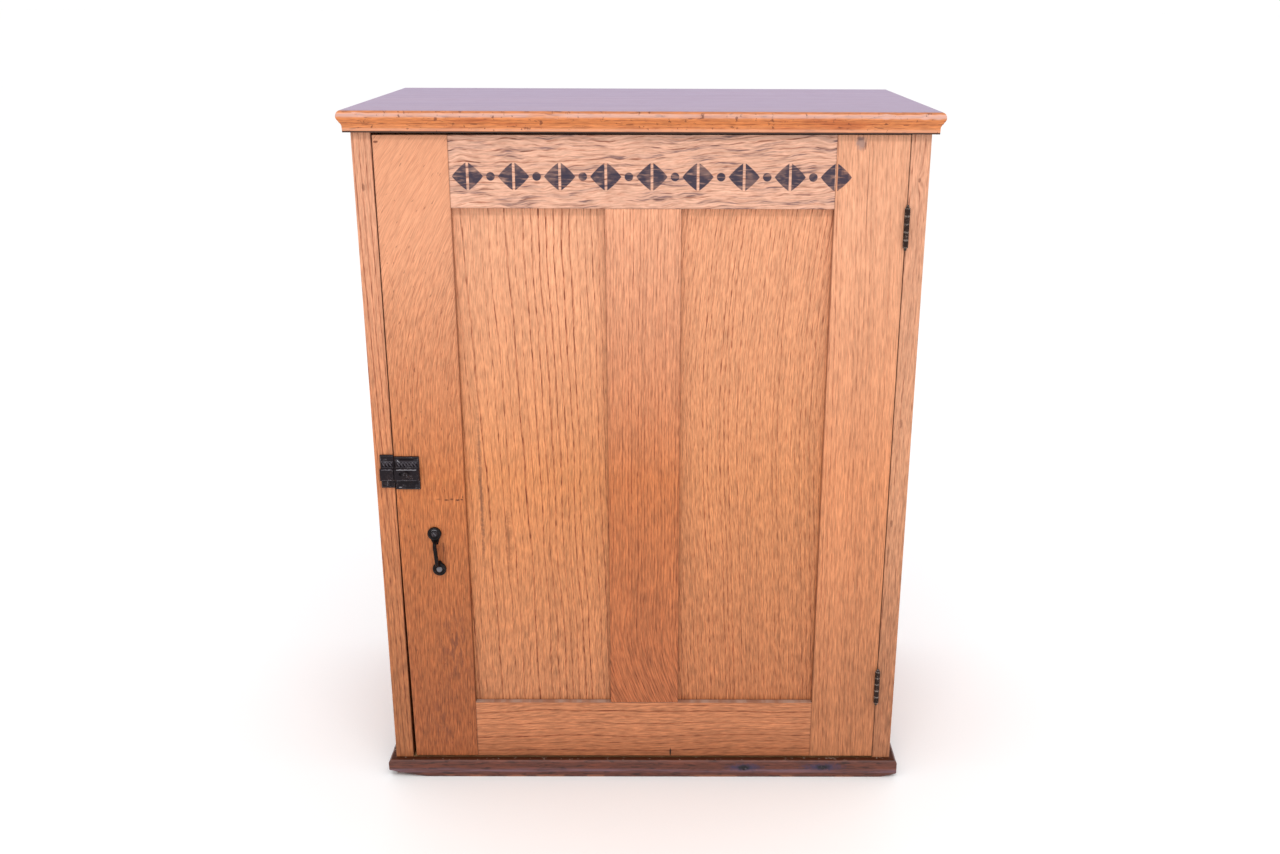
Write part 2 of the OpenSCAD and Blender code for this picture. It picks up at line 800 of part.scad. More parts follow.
// places as [distance from the jamb, distance from the bolt's middle]
latch_screw_at = [[6.5, 18.25], [30.5, 18.25], [13.1, -18.5], [30.5, -18.5]];
keeper_screw_at = [[-10.5, 18.25], [-10.5, -14.5]];

// A cast plate with a raised housing across its middle
module cast_plate(x, z) {
    block(x, [-plate_t, 0], z);
    block(x, [-latch_out, -plate_t + over], housing_z);
}

module latch_case() {
    color(black_iron) at_front() difference() {
        cast_plate(latch_x, latch_z);
        // channel for the bolt
        block([latch_x[0] - over, channel_end], channel_y, [bolt_z - channel_half, bolt_z + channel_half]);
        // slot for the knob's stem
        for (x = [knob_x - bolt_travel, knob_x])
            on_face(x, knob_z, -stem_slot_y) cylinder(r = stem_slot, h = latch_out);
        block([knob_x - bolt_travel, knob_x], [-latch_out - over, stem_slot_y],
              [knob_z - stem_slot, knob_z + stem_slot]);
        for (at = latch_screw_at)
            on_face(jamb + at[0], bolt_z + at[1], plate_t) screw_seat(plate_screw, plate_t);
    }
}

module latch_keeper() {
    color(black_iron) at_front() difference() {
        cast_plate(keeper_x, keeper_z);
        // pocket for the end of the bolt
        block([keeper_x[1] - bolt_travel - pocket_end, keeper_x[1] + over], grown(bolt_y, pocket_play),
              grown([bolt_z - bolt_half, bolt_z + bolt_half], pocket_play));
        for (at = keeper_screw_at)
            on_face(jamb + at[0], bolt_z + at[1], plate_t) screw_seat(plate_screw, plate_t);
    }
}

module plate_screws(places) {
    color(black_iron) at_front() for (i = [0:len(places) - 1])
        on_face(jamb + places[i][0], bolt_z + places[i][1], plate_t) wood_screw(plate_screw, 35 + 50 * i);
}
module latch_screws() { plate_screws(latch_screw_at); }
module keeper_screws() { plate_screws(keeper_screw_at); }

// The bolt, drawn back into the latch case
module latch_bolt() {
    color(black_iron) at_front() difference() {
        block([latch_x[0], latch_x[0] + bolt_len], bolt_y, [bolt_z - bolt_half, bolt_z + bolt_half]);
        on_face(knob_x, knob_z, -bolt_y[0] - rivet_len) cylinder(r = rivet_r, h = rivet_len + over);
    }
}

module latch_knob() {
    neck = latch_out + knob_gap;
    color(black_iron) at_front() on_face(knob_x, knob_z) rotate_extrude() polygon(concat(
        [[0, -bolt_y[0] - rivet_len], [rivet_r, -bolt_y[0] - rivet_len], [rivet_r, -bolt_y[0]],
         [stem_r, -bolt_y[0]], [stem_r, neck], [knob_r - 1, neck]],
        arc([knob_r - 1, neck + 1], 1, -60, 0, 3),
        [[knob_r, knob_out - knob_round - 0.4]],
        arc([knob_r, knob_out] - knob_round * [1, 1], knob_round, 20, 90, 4),
        [[0, knob_out]]
    ));
}

// A bowed strip behind the bolt, whose rub holds it where it is put
module latch_spring() {
    bow = (pow(spring_len / 2, 2) + pow(spring_rise, 2)) / (2 * spring_rise);
    half = asin(spring_len / 2 / bow);
    centre = [spring_mid, channel_y[1] - spring_gap - bow];
    color(black_iron) at_front() translate([0, 0, bolt_z - spring_w / 2])
        linear_extrude(spring_w) polygon(concat(
            arc(centre, bow, 90 - half, 90 + half, 10),
            arc(centre, bow - spring_t, 90 + half, 90 - half, 10)
        ));
}

// ---------- pull ----------

// A round flange with a tail towards the bar: tail is how far it runs from the centre
module flange(tail) {
    shoulder = (flange_r - 0.8) * [sin(shoulder_angle), -cos(shoulder_angle)];
    toe = pull_bar_r + 0.3;
    linear_extrude(flange_t) {
        circle(r = flange_r);
        polygon([[-shoulder[0], shoulder[1]], shoulder, [toe, -tail], [-toe, -tail]]);
    }
}

// One leg of the bar and its bend, towards +Z: the leg stands on y = 0
module pull_leg() {
    foot = flange_t - over;
    leg = pull_reach - pull_bar_r - bend_r;
    on_face(0, 0, foot) cylinder(r = pull_bar_r, h = leg - foot);
    translate([0, -leg, bend_r]) rotate([0, -90, 0]) rotate([0, 0, 180])
        rotate_extrude(angle = 90) translate([bend_r, 0]) circle(r = pull_bar_r);
}

module pull_handle() {
    color(black_iron) at_front() translate([pull_mid[0], 0, pull_mid[1]]) rotate([0, -pull_tilt, 0])
        difference() {
            union() {
                on_face(0, pull_half) flange(16);
                on_face(0, -pull_half) rotate([0, 0, 180]) flange(12);
                translate([0, 0, leg_z[0]]) pull_leg();
                translate([0, 0, leg_z[1]]) mirror([0, 0, 1]) pull_leg();
                translate([0, pull_bar_r - pull_reach, leg_z[0] + bend_r])
                    cylinder(r = pull_bar_r, h = leg_z[1] - leg_z[0] - 2 * bend_r);
            }
            for (z = [pull_half, -pull_half]) on_face(0, z, flange_t) screw_seat(pull_screw, flange_t);
        }
}

module pull_screws() {
    color(black_iron) at_front() for (place = [[pull_top, 120], [pull_foot, 30]])
        on_face(place[0][0], place[0][1], flange_t) wood_screw(pull_screw, place[1]);
}

// ---------- what is drawn ----------

top_board();
left_front_stile();
left_back_stile();
left_top_rail();
left_bottom_rail();
left_side_panel();
right_front_stile();
right_back_stile();
right_top_rail();
right_bottom_rail();
right_side_panel();
bottom_board();
base_mould_front();
base_mould_left();
base_mould_right();
back_boards();
base_nails();
breaker_strips();
insulation_left();
insulation_right();
insulation_back();
insulation_top();
insulation_bottom();
liner();
shelf_cleats();
ice_bearers();
ice_pan();
ice_grate_battens();
ice_grate_slats();
drain_pipe();
floor_drain();
upper_wire_shelf();
lower_wire_shelf();
door_left_stile();
door_right_stile();
door_top_rail();
door_bottom_rail();
door_muntin();
door_left_panel();
door_right_panel();
door_plug_frame();
door_core();
door_liner();
door_gasket();
upper_hinge_case_leaf();
upper_hinge_door_leaf();
lower_hinge_case_leaf();
lower_hinge_door_leaf();
hinge_pins();
hinge_case_screws();
hinge_door_screws();
latch_case();
latch_screws();
latch_keeper();
keeper_screws();
latch_bolt();
latch_knob();
latch_spring();
pull_handle();
pull_screws();
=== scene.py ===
import math

import bmesh
import bpy
from mathutils import Matrix, Vector, noise


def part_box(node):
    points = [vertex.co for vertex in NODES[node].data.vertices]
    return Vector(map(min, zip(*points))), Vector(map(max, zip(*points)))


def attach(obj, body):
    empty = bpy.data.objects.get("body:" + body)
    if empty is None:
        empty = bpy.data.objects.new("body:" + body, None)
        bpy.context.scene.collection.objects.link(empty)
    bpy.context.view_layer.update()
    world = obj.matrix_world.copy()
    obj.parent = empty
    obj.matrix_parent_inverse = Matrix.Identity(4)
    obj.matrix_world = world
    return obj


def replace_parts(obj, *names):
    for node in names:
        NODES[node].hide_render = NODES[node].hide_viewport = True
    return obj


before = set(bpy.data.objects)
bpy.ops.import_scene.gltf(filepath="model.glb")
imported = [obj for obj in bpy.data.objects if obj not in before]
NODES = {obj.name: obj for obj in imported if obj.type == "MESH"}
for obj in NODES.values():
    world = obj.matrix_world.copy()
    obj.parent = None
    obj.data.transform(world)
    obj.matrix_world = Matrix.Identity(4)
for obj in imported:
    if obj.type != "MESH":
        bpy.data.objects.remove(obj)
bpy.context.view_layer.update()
MM = 0.001

# the boxes, planes and edges that the looks are placed by, from the frame
TOP_LO, TOP_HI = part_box("top_board")
LEFT_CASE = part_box("left_front_stile")
RIGHT_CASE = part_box("right_front_stile")
CASE_HIGH = LEFT_CASE[1].z
FRONT = LEFT_CASE[0].y
SIDE = RIGHT_CASE[1].x
UNDER_TOP = TOP_LO.z
JAMB = LEFT_CASE[1].x
LATCH_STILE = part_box("door_left_stile")
HINGE_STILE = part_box("door_right_stile")
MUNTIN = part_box("door_muntin")
LEFT_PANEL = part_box("door_left_panel")
BOTTOM_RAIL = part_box("door_bottom_rail")
PANEL_LOW = BOTTOM_RAIL[1].z
PANEL_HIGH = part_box("door_top_rail")[0].z
DOOR_LOW = LATCH_STILE[0].z
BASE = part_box("base_mould_front")


def middle(node):
    """The middle of a node's box."""
    low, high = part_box(node)
    return (low + high) / 2


def spot(box, right, up):
    """A place on a box's front as (x, z), given in millimetres from its lower left corner."""
    return box[0].x + right * MM, box[0].z + up * MM


BOLT = middle("latch_bolt")

LIGHT = 1.12                # how bright a white matt board would look in the studio
GLOSS = 0.03                # what the varnish adds to every colour
BACK_BOARDS = 6
KNUCKLES = 5                # to a hinge


# ---------- shader graphs ----------

def paint(red, green, blue):
    """A colour given in 0 to 255 as seen on a screen, as linear RGBA."""
    linear = [c / 12.92 if c <= 0.04045 else ((c + 0.055) / 1.055) ** 2.4
              for c in (red / 255, green / 255, blue / 255)]
    return (*linear, 1.0)


def seen(red, green, blue):
    """The paint that looks like a colour, given in 0 to 255, in the studio's light under its gloss."""
    return (*(max((c - GLOSS) / LIGHT, 0.004) for c in paint(red, green, blue)[:3]), 1.0)


class Value:
    """A shader output that arithmetic works on: each operation adds a Math node."""

    def __init__(self, graph, socket):
        self.graph, self.socket = graph, socket

    def __add__(self, other):
        return self.graph.math("ADD", self, other)

    def __sub__(self, other):
        return self.graph.math("SUBTRACT", self, other)

    def __rsub__(self, other):
        return self.graph.math("SUBTRACT", other, self)

    def __mul__(self, other):
        return self.graph.math("MULTIPLY", self, other)

    def __truediv__(self, other):
        return self.graph.math("DIVIDE", self, other)

    def __pow__(self, other):
        return self.graph.math("POWER", self, other)

    def __abs__(self):
        return self.graph.math("ABSOLUTE", self)

    __radd__ = __add__
    __rmul__ = __mul__


class Graph:
    """A material under construction. x, y and z are the object's own coordinates, in metres."""

    def __init__(self, name):
        self.material = bpy.data.materials.new(name)
        self.material.use_nodes = True
        self.tree = self.material.node_tree
        self.tree.nodes.clear()
        self.place = self.node("TexCoord", {}).outputs["Object"]
        parts = self.node("SeparateXYZ", {0: self.place}).outputs
        self.x, self.y, self.z = (Value(self, p) for p in parts)
        self.axes = {"x": self.x, "y": self.y, "z": self.z}
        facing = self.node("SeparateXYZ", {0: self.node("NewGeometry", {}).outputs["Normal"]}).outputs
        self.up = Value(self, facing[2])

    def node(self, kind, inputs, **settings):
        made = self.tree.nodes.new("ShaderNode" + kind)
        for key, value in settings.items():
            setattr(made, key, value)
        for key, value in inputs.items():
            if isinstance(value, Value):
                value = value.socket
            if isinstance(value, bpy.types.NodeSocket):
                self.tree.links.new(value, made.inputs[key])
            else:
                made.inputs[key].default_value = value
        return made

    def math(self, operation, *values):
        return Value(self, self.node("Math", dict(enumerate(values)), operation=operation).outputs[0])

    def least(self, *values):
        found = values[0]
        for value in values[1:]:
            found = self.math("MINIMUM", found, value)
        return found

    def most(self, a, b):
        return self.math("MAXIMUM", a, b)

    def xyz(self, x, y, z):
        return self.node("CombineXYZ", {0: x, 1: y, 2: z}).outputs[0]

    def noise(self, place, scale=1.0, detail=2.0, rough=0.5, swirl=0.0):
        inputs = {"Vector": place, "Scale": scale, "Detail": detail, "Roughness": rough,
                  "Distortion": swirl}
        return Value(self, self.node("TexNoise", inputs).outputs[0])

    def cells(self, place, scale):
        made = self.node("TexVoronoi", {"Vector": place, "Scale": scale}, feature="F1")
        return Value(self, made.outputs["Distance"]), made.outputs.get("Color")

    def chance(self, value):
        return Value(self, self.node("TexWhiteNoise", {"W": value}, noise_dimensions="1D").outputs[0])

    def ease(self, value, start, end, low=0.0, high=1.0):
        """Goes smoothly from low to high as value goes from start to end."""
        inputs = {0: value, 1: start, 2: end, 3: low, 4: high}
        return Value(self, self.node("MapRange", inputs, interpolation_type="SMOOTHSTEP").outputs[0])

    def ramp(self, value, stops):
        made = self.node("ValToRGB", {0: value})
        elements = made.color_ramp.elements
        while len(elements) < len(stops):
            elements.new(0.5)
        for element, (position, colour) in zip(elements, stops):
            element.position, element.color = position, colour
        return made.outputs[0]

    def blend(self, factor, a, b, mode="MIX"):
        inputs = {0: factor, 6: a, 7: b}
        made = self.node("Mix", inputs, data_type="RGBA", blend_type=mode, clamp_factor=True)
        return made.outputs[2]

    def tint(self, colour, factor, shade):
        """colour, turned towards its product with shade by factor."""
        return self.blend(factor, colour, shade, "MULTIPLY")

    def scaled(self, colour, by):
        return self.node("VectorMath", {0: colour, "Scale": by}, operation="SCALE").outputs[0]

    def bump(self, height, depth, under=None):
        inputs = {"Height": height, "Distance": depth, "Strength": 1.0}
        if under is not None:
            inputs["Normal"] = under
        return self.node("Bump", inputs).outputs[0]

    def oval(self, centre, size, axes="xz", ragged=0.5, soft=0.5):
        """1 in the middle of a soft ragged oval, 0 outside it."""
        u, v = ((self.axes[k] - c) / s for k, c, s in zip(axes, centre, size))
        away = (u * u + v * v) ** 0.5
        grain = 900.0 if size[0] < 2 * MM else 260.0
        frayed = away + (self.noise(self.place, grain, 3.0) - 0.5) * ragged
        return 1 - self.ease(frayed, 1 - soft, 1.0)

    def finish(self, colour, rough, normal=None, metallic=0.0, coat=0.0, coat_rough=0.2, specular=0.5,
               sheen=0.0, sheen_tint=(1, 1, 1, 1)):
        inputs = {"Base Color": colour, "Roughness": rough, "Metallic": metallic, "Coat Weight": coat,
                  "Coat Roughness": coat_rough, "Specular IOR Level": specular, "Sheen Weight": sheen,
                  "Sheen Tint": sheen_tint}
        if normal is not None:
            inputs["Normal"] = normal
        shader = self.node("BsdfPrincipled", inputs)
        self.node("OutputMaterial", {"Surface": shader.outputs[0]})
        return self.material


# ---------- oak ----------

LINE = paint(192, 160, 146)
DEEP = paint(160, 118, 102)
BLUE_LINE = paint(140, 142, 168)
# a dark brown for dirt and stains, and for painted shade along boards' edges and in corners
DIRT_AND_SHADE = paint(110, 72, 54)
INK = paint(44, 38, 58)


class Board:
    """One board: growth rings about a pith, seen on its faces, and the pores along them.

    grain, across and depth are the axes of the board, ring is a year's width and band the share of it
    that is open early wood. pith is where the rings centre, and the rings lean and bend along the grain.
    wild is (how far, how often) they waver, and curve (from where, how much) they sweep aside. split is
    (start, width) of boards side by side, and turned the half width within which the grain runs along x.
    """

    def __init__(self, name, seed, grain="z", across="x", depth="y", ring=5 * MM, pith=(0.0, 0.12),
                 lean=(0.0, 0.0), bend=6 * MM, wild=None, band=0.3, curve=None, knots=(), split=None,
                 turned=0.0):
        g = self.g = Graph(name)
        self.l, self.a, t = g.axes[grain], g.axes[across], g.axes[depth]
        if turned:
            inner = g.math("LESS_THAN", abs(g.x), turned)
            turn = (self.a - self.l) * inner
            self.l, self.a = self.l + turn, self.a - turn
        if split:
            start, width = split
            index = g.math("FLOOR", (self.a - start) / width)
            self.luck = g.chance(index + seed)
            self.a = self.a - start - (index + 0.5) * width
            self.gap = width / 2 - abs(self.a)
            self.a, self.l = self.a + (self.luck - 0.5) * 0.5, self.l + self.luck * 3
        sway = g.noise(g.xyz(self.a * 4, t * 4, self.l * 1.6 + seed), detail=2.0) - 0.5
        across_rings = self.a - pith[0] - self.l * lean[0] + sway * (2 * bend)
        into_rings = t - pith[1] - self.l * lean[1]
        if curve:
            start, turn = curve
            past = g.most((self.l - start) * (1 if turn > 0 else -1), 0.0)
            across_rings = across_rings - past * past * abs(turn)
        if wild:
            reach, often = wild
            shiver = g.noise(g.xyz(self.a * 30, t * 30, self.l * often + seed), detail=2.0) - 0.5
            across_rings = across_rings + shiver * (2 * reach)
        for at, size in knots:
            u, v = (self.l - at[0]) / (3 * size), (self.a - at[1]) / size
            pull = g.math("POWER", 2.0, (u * u + v * v) * -1)
            across_rings = across_rings + pull * (1.2 * size)
        self.u, self.v = across_rings, into_rings
        away = (across_rings * across_rings + into_rings * into_rings) ** 0.5
        uneven = g.noise(g.xyz(self.a * 9, t * 9, self.l * 2.5 + seed), detail=1.0) - 0.5
        years = away / ring + uneven * 0.8 + seed
        year = g.math("FLOOR", years)
        part = years - year
        luck = g.chance(year)
        fades = 1 - g.ease(part, band * 0.4, band * (0.8 + 0.9 * luck))
        self.early = fades * g.ease(part, 0.0, band * 0.25) * g.ease(luck, 0.0, 1.0, 0.45, 1.0)
        self.tone = self.streaks(70, 1.4, 3.0)
        self.broad = g.noise(g.xyz(self.a * 11, t * 11, self.l * 3.1 + seed), detail=3.0)
        self.pore = g.ease(self.streaks(760, 62), 0.46, 0.64)
        self.fine = g.ease(self.streaks(950, 120), 0.46, 0.68)

    def streaks(self, across, along, detail=1.0):
        """Noise drawn out along the grain, with so many grains to the metre each way."""
        place = self.g.xyz(self.u * across, self.v * across, self.l * along)
        return self.g.noise(place, detail=detail)

    def shade(self, tones, lines=1.0, dashes=0.35, line=LINE, blue=0.0, mottle=1.0, broken=0.4,
              thread=1.0):
        """Colours the board. tones are (height as a share of the case, colour) from the floor up; where
        they darken towards the floor, that is partly painted shade of the light falling off and partly
        dirt.
        """
        g = self.g
        colour = g.ramp(g.z / CASE_HIGH, tones)
        light = 1 + (self.tone - 0.5) * (0.3 * mottle) + (self.broad - 0.5) * (0.26 * mottle)
        deeper = g.ease(g.z / CASE_HIGH, 0.1, 0.9, 1.6, 1.0)
        colour = g.scaled(colour, light + (self.streaks(560, 52, 3.0) - 0.5) * deeper * thread)
        ring = self.early * ((1 - broken) + broken * self.pore) * g.ease(self.broad, 0.2, 0.7, 0.45, 1.0)
        self.dark = g.least(ring * lines + self.pore * (dashes * 0.6) + self.fine * (dashes * 0.5), 1.0)
        if blue:
            grey = g.ease(self.streaks(150, 16, 3.0), 0.48, 0.64)
            colour = g.tint(colour, grey * (0.3 + 0.7 * self.pore) * blue, BLUE_LINE)
        colour = g.tint(colour, self.dark, line)
        colour = g.tint(colour, ring * self.pore * self.tone * (1.5 * lines), DEEP)
        self.colour = colour
        return self

    def edges(self, limits):
        """Dirt and painted shade towards the limits of the board's visible face, given as {axis: (low,
        high)}.
        """
        g = self.g
        reach, power = 3 * MM, 0.25
        crisp, crisp_power = 0.7 * MM, 0.35
        gaps = []
        for axis, (low, high) in limits.items():
            if low is not None:
                gaps.append(g.axes[axis] - low)
            if high is not None:
                gaps.append(high - g.axes[axis])
        gap = g.least(*gaps)
        near = 1 - g.ease(gap, 0.0, reach)
        # painted shade with dirt: a soft darker band towards the face's limits
        self.colour = g.tint(self.colour, near * near * power * (0.3 + self.broad), DIRT_AND_SHADE)
        # painted shade: a thin dark line right at the face's limits
        self.colour = g.tint(self.colour, (1 - g.ease(gap, 0.0, crisp)) * crisp_power, DIRT_AND_SHADE)
        return self

    def shadow_under_top(self):
        """Painted shadow on the faces turned up under the top board."""
        g = self.g
        near = g.ease(g.z, UNDER_TOP - 3.2 * MM, UNDER_TOP - 2.2 * MM)
        # painted shadow: near black on the up-facing faces just under the top board
        self.colour = g.tint(self.colour, g.ease(g.up, 0.5, 0.9) * near, (0.03, 0.02, 0.015, 1))
        return self

    def mark(self, centre, size, power=0.8, colour=DIRT_AND_SHADE, ragged=0.6, soft=0.6):
        """A darker patch: a stain, dent or scratch, and beside the pull a painted shadow."""
        patch_mask = self.g.oval(centre, size, "xz", ragged, soft)
        self.colour = self.g.tint(self.colour, patch_mask * power, colour)
        return self

    def specks(self, power=0.5, amount=0.7, length=90.0):
        """Scattered dark flecks along the grain."""
        g = self.g
        speck = g.ease(self.streaks(260, length, 2.0), amount - 0.04, amount + 0.04)
        self.colour = g.tint(self.colour, speck * power, DIRT_AND_SHADE)
        return self

    def over(self, factor, colour):
        self.colour = self.g.blend(factor, self.colour, colour)
        return self

    def done(self, rough=0.46, coat=0.08, coat_rough=0.3, specular=0.3, **more):
        """The finished material: varnish, pores sunk below it and the waves left by the plane."""
        g = self.g
        worn = g.noise(g.place, 35.0, 3.0)
        waves = g.bump(g.noise(g.xyz(self.a * 22, 0.0, self.l * 5), detail=1.0), 0.5 * MM)
        normal = g.bump(1 - self.dark, 0.08 * MM, waves)
        roughness = rough - 0.06 + worn * 0.12 + self.dark * 0.12
        return g.finish(self.colour, roughness, normal, coat=coat, coat_rough=coat_rough,
                        specular=specular, **more)


def dress(node, material):
    """Gives a CAD node its material."""
    mesh = NODES[node].data
    mesh.materials.clear()
    mesh.materials.append(material)


def ease_edges(node, width):
    """Rounds a CAD node's edges with modifiers, after joining the vertices that its file repeats."""
    weld = NODES[node].modifiers.new("weld", "WELD")
    weld.merge_threshold = 0.02 * MM
    bevel = NODES[node].modifiers.new("bevel", "BEVEL")
    bevel.width, bevel.segments = width, 2
    bevel.limit_method, bevel.angle_limit = "ANGLE", math.radians(30)
    bevel.harden_normals = False
    bevel.use_clamp_overlap = True


def tones(low, mid, high):
    """A board's colours as seen near the floor, half way up and near the top, darker lower down: partly
    painted shade of the light falling off towards the floor and partly dirt.
    """
    return [(0.12, seen(*low)), (0.5, seen(*mid)), (0.9, seen(*high))]


# the side boards' colours, darker towards the floor: partly painted shade of the light falling off,
# partly dirt
SIDE_TONES = tones((185, 118, 80), (214, 140, 98), (230, 162, 122))


def stencil(board):
    """A worn row of stencilled lozenges and dots in ink. It carries no letters or figures."""
    g = board.g
    count, pitch = 9, 58 * MM
    half_w, half_h, bridge, dot = 20 * MM, 18.5 * MM, 1.3 * MM, 5.4 * MM
    start, centre_z = LATCH_STILE[1].x - 6 * MM, PANEL_HIGH + 40 * MM
    along = (g.x - start) / pitch
    u = abs((along - g.math("FLOOR", along) - 0.5) * pitch)
    v = g.z - centre_z
    lozenge = 1 - g.ease((u / half_w) ** 1.15 + (abs(v) / half_h) ** 1.15, 0.94, 1.0)
    lozenge = lozenge * g.ease(u, bridge, bridge + 0.7 * MM)
    w = pitch / 2 - u
    dots = 1 - g.ease((w * w + v * v) ** 0.5, dot - 0.4 * MM, dot + 0.4 * MM)
    inside = g.math("LESS_THAN", abs(along - count / 2), count / 2 - 0.15)
    inside = inside * g.math("LESS_THAN", g.y, FRONT + 0.3 * MM)
    thin = g.ease(g.noise(g.xyz(g.x * 60, g.z * 330, 2.0), detail=3.0), 0.5, 0.72, 1.0, 0.62)
    patchy = g.ease(g.noise(g.place, 55.0, 2.0), 0.32, 0.55, 0.8, 1.0)
    return board.over(g.most(lozenge, dots) * inside * thin * patchy * 0.97, INK)


def dress_door():
    latch_in, hinge_in = LATCH_STILE[1].x, HINGE_STILE[0].x
    muntin_x = (MUNTIN[0].x, MUNTIN[1].x)
    panel_z = (PANEL_LOW, PANEL_HIGH)

    b = Board("oak_latch_stile", 3.7, ring=2.6 * MM, pith=(-0.60, 0.42), lean=(0.03, 0.0), bend=8 * MM,
              wild=(1.5 * MM, 18), band=0.4, curve=(0.56, 1.0))
    b.shade(tones((177, 108, 73), (211, 132, 85), (241, 175, 138)), lines=0.22, dashes=0.5, mottle=1.2,
            thread=1.2)
    b.over(b.g.ease(b.g.z, 0.68, 0.86) * 0.5, seen(238, 167, 130))
    b.specks(0.5, 0.7)
    b.edges({"x": (LATCH_STILE[0].x, latch_in), "z": (DOOR_LOW, None)})
    scratch = ((57, 404.7, 5, 0.5), (68, 404.0, 4, 0.8), (75, 405.0, 3, 0.7), (83.3, 403.7, 4, 1.0),
               (88.8, 404.5, 3, 1.0), (90.3, 408.0, 1, 0.9))
    for right, up, wide, power in scratch:
        b.mark(spot(LATCH_STILE, right, up), (wide * MM, 2 * MM), power, paint(84, 54, 44), 1.2, 0.9)
    pull = middle("pull_handle")
    # painted shadow of the pull on the stile, with a dark stain
    b.mark((pull.x + 4.6 * MM, pull.z - 5.4 * MM), (11 * MM, 26 * MM), 0.4)
    b.mark((pull.x + 9.1 * MM, pull.z + 4.6 * MM), (2.2 * MM, 12 * MM), 0.6)
    smudge = b.g.ease(b.streaks(330, 75, 4.0), 0.44, 0.62)
    upper = b.g.oval(spot(LATCH_STILE, 68, 175), (34 * MM, 110 * MM), soft=1.0)
    lower = b.g.oval(spot(LATCH_STILE, 44, 60), (34 * MM, 70 * MM), soft=1.0)
    b.over(smudge * upper * 0.7, paint(112, 60, 40))
    b.over(smudge * lower * 0.5, paint(104, 56, 40))
    b.mark(spot(LATCH_STILE, 4.3, 884), (4 * MM, 2 * MM))
    dress("door_left_stile", b.shadow_under_top().done())

    b = Board("oak_left_panel", 8.2, ring=7 * MM, pith=(-0.47, 0.10), lean=(0.022, 0.05), bend=12 * MM,
              wild=(4 * MM, 9), band=0.2)
    b.shade(tones((208, 141, 102), (227, 152, 103), (247, 182, 145)), lines=1.15, broken=0.35)
    b.edges({"x": (latch_in, muntin_x[0]), "z": panel_z})
    b.mark(spot(LEFT_PANEL, 28.5, 329), (3.5 * MM, 160 * MM), 0.7, BLUE_LINE, 1.1, 0.9)
    b.mark(spot(LEFT_PANEL, 64, 259), (5 * MM, 70 * MM), 0.4, DIRT_AND_SHADE, 1.2, 0.9)
    dress("door_left_panel", b.done())

    b = Board("oak_muntin", 14.1, ring=3.4 * MM, pith=(0.50, 0.25), lean=(0.02, 0.0), bend=10 * MM,
              curve=(0.26, -1.7))
    b.shade(tones((188, 116, 81), (209, 131, 87), (246, 179, 143)), lines=0.7, dashes=0.4, broken=0.3,
            thread=1.1)
    dress("door_muntin", b.edges({"x": muntin_x, "z": panel_z}).done())

    b = Board("oak_right_panel", 21.5, ring=4.2 * MM, pith=(0.65, 0.3), lean=(-0.05, 0.0), bend=9 * MM,
              wild=(1.2 * MM, 18), curve=(0.42, 0.22))
    b.shade(tones((200, 131, 92), (226, 154, 108), (244, 176, 137)), lines=0.7, dashes=0.5)
    dress("door_right_panel", b.edges({"x": (muntin_x[1], hinge_in), "z": panel_z}).done())

    b = Board("oak_hinge_stile", 29.3, ring=5.5 * MM, pith=(0.9, 0.1), lean=(-0.02, 0.0), bend=8 * MM)
    b.shade(tones((196, 131, 94), (230, 156, 113), (242, 178, 142)), lines=0.4, dashes=0.3, mottle=1.6,
            thread=0.9)
    b.edges({"x": (hinge_in, HINGE_STILE[1].x), "z": (DOOR_LOW, None)})
    knot = b.g.oval(spot(HINGE_STILE, 29.5, 884.5), (9 * MM, 12 * MM), ragged=0.7, soft=0.7)
    b.over(knot * 0.85, paint(158, 126, 116))
    b.mark(spot(HINGE_STILE, 28, 890), (6 * MM, 3 * MM), 0.6, BLUE_LINE, 0.9)
    b.mark(spot(HINGE_STILE, 35, 881.5), (1.5 * MM, 7 * MM), 0.6, DIRT_AND_SHADE, 0.9)
    b.mark(spot(HINGE_STILE, 41, 830.5), (0.8 * MM, 75 * MM), 0.55, DIRT_AND_SHADE, 0.5, 0.7)
    dress("door_right_stile", stencil(b).shadow_under_top().done())

    b = Board("oak_top_rail", 35.9, "x", "z", ring=4.4 * MM, pith=(0.60, 0.10), lean=(0.03, 0.0),
              bend=22 * MM, wild=(8 * MM, 18))
    b.shade(tones((255, 200, 168), (255, 200, 168), (240, 188, 162)), lines=0.9, dashes=0.45, blue=0.9,
            broken=0.5)
    b.edges({"x": (latch_in, hinge_in), "z": (PANEL_HIGH, None)})
    dress("door_top_rail", stencil(b).shadow_under_top().done())

    b = Board("oak_bottom_rail", 44.4, "x", "z", ring=5.6 * MM, pith=(-0.09, 0.06), lean=(0.05, 0.02),
              bend=16 * MM, wild=(5 * MM, 7), band=0.2)
    # darker at the rail's foot: painted shade along the door's lower edge, with dirt
    b.shade([(0.03, seen(172, 110, 78)), (0.09, seen(204, 137, 100)), (1.0, seen(204, 139, 102))],
            lines=1.35, broken=0.3)
    b.edges({"x": (latch_in, hinge_in), "z": (DOOR_LOW, PANEL_LOW)})
    b.mark(spot(BOTTOM_RAIL, 322, 6.5), (1.6 * MM, 9 * MM), 1.0, paint(30, 16, 12), 0.3)
    dusty = b.g.ease(b.g.noise(b.g.xyz(b.g.x * 40, 0.0, 0.0), detail=3.0), 0.4, 0.6, 0.35, 0.95)
    b.over(b.g.ease(b.g.up, 0.6, 0.9) * dusty, paint(176, 146, 130))
    dress("door_bottom_rail", b.done())


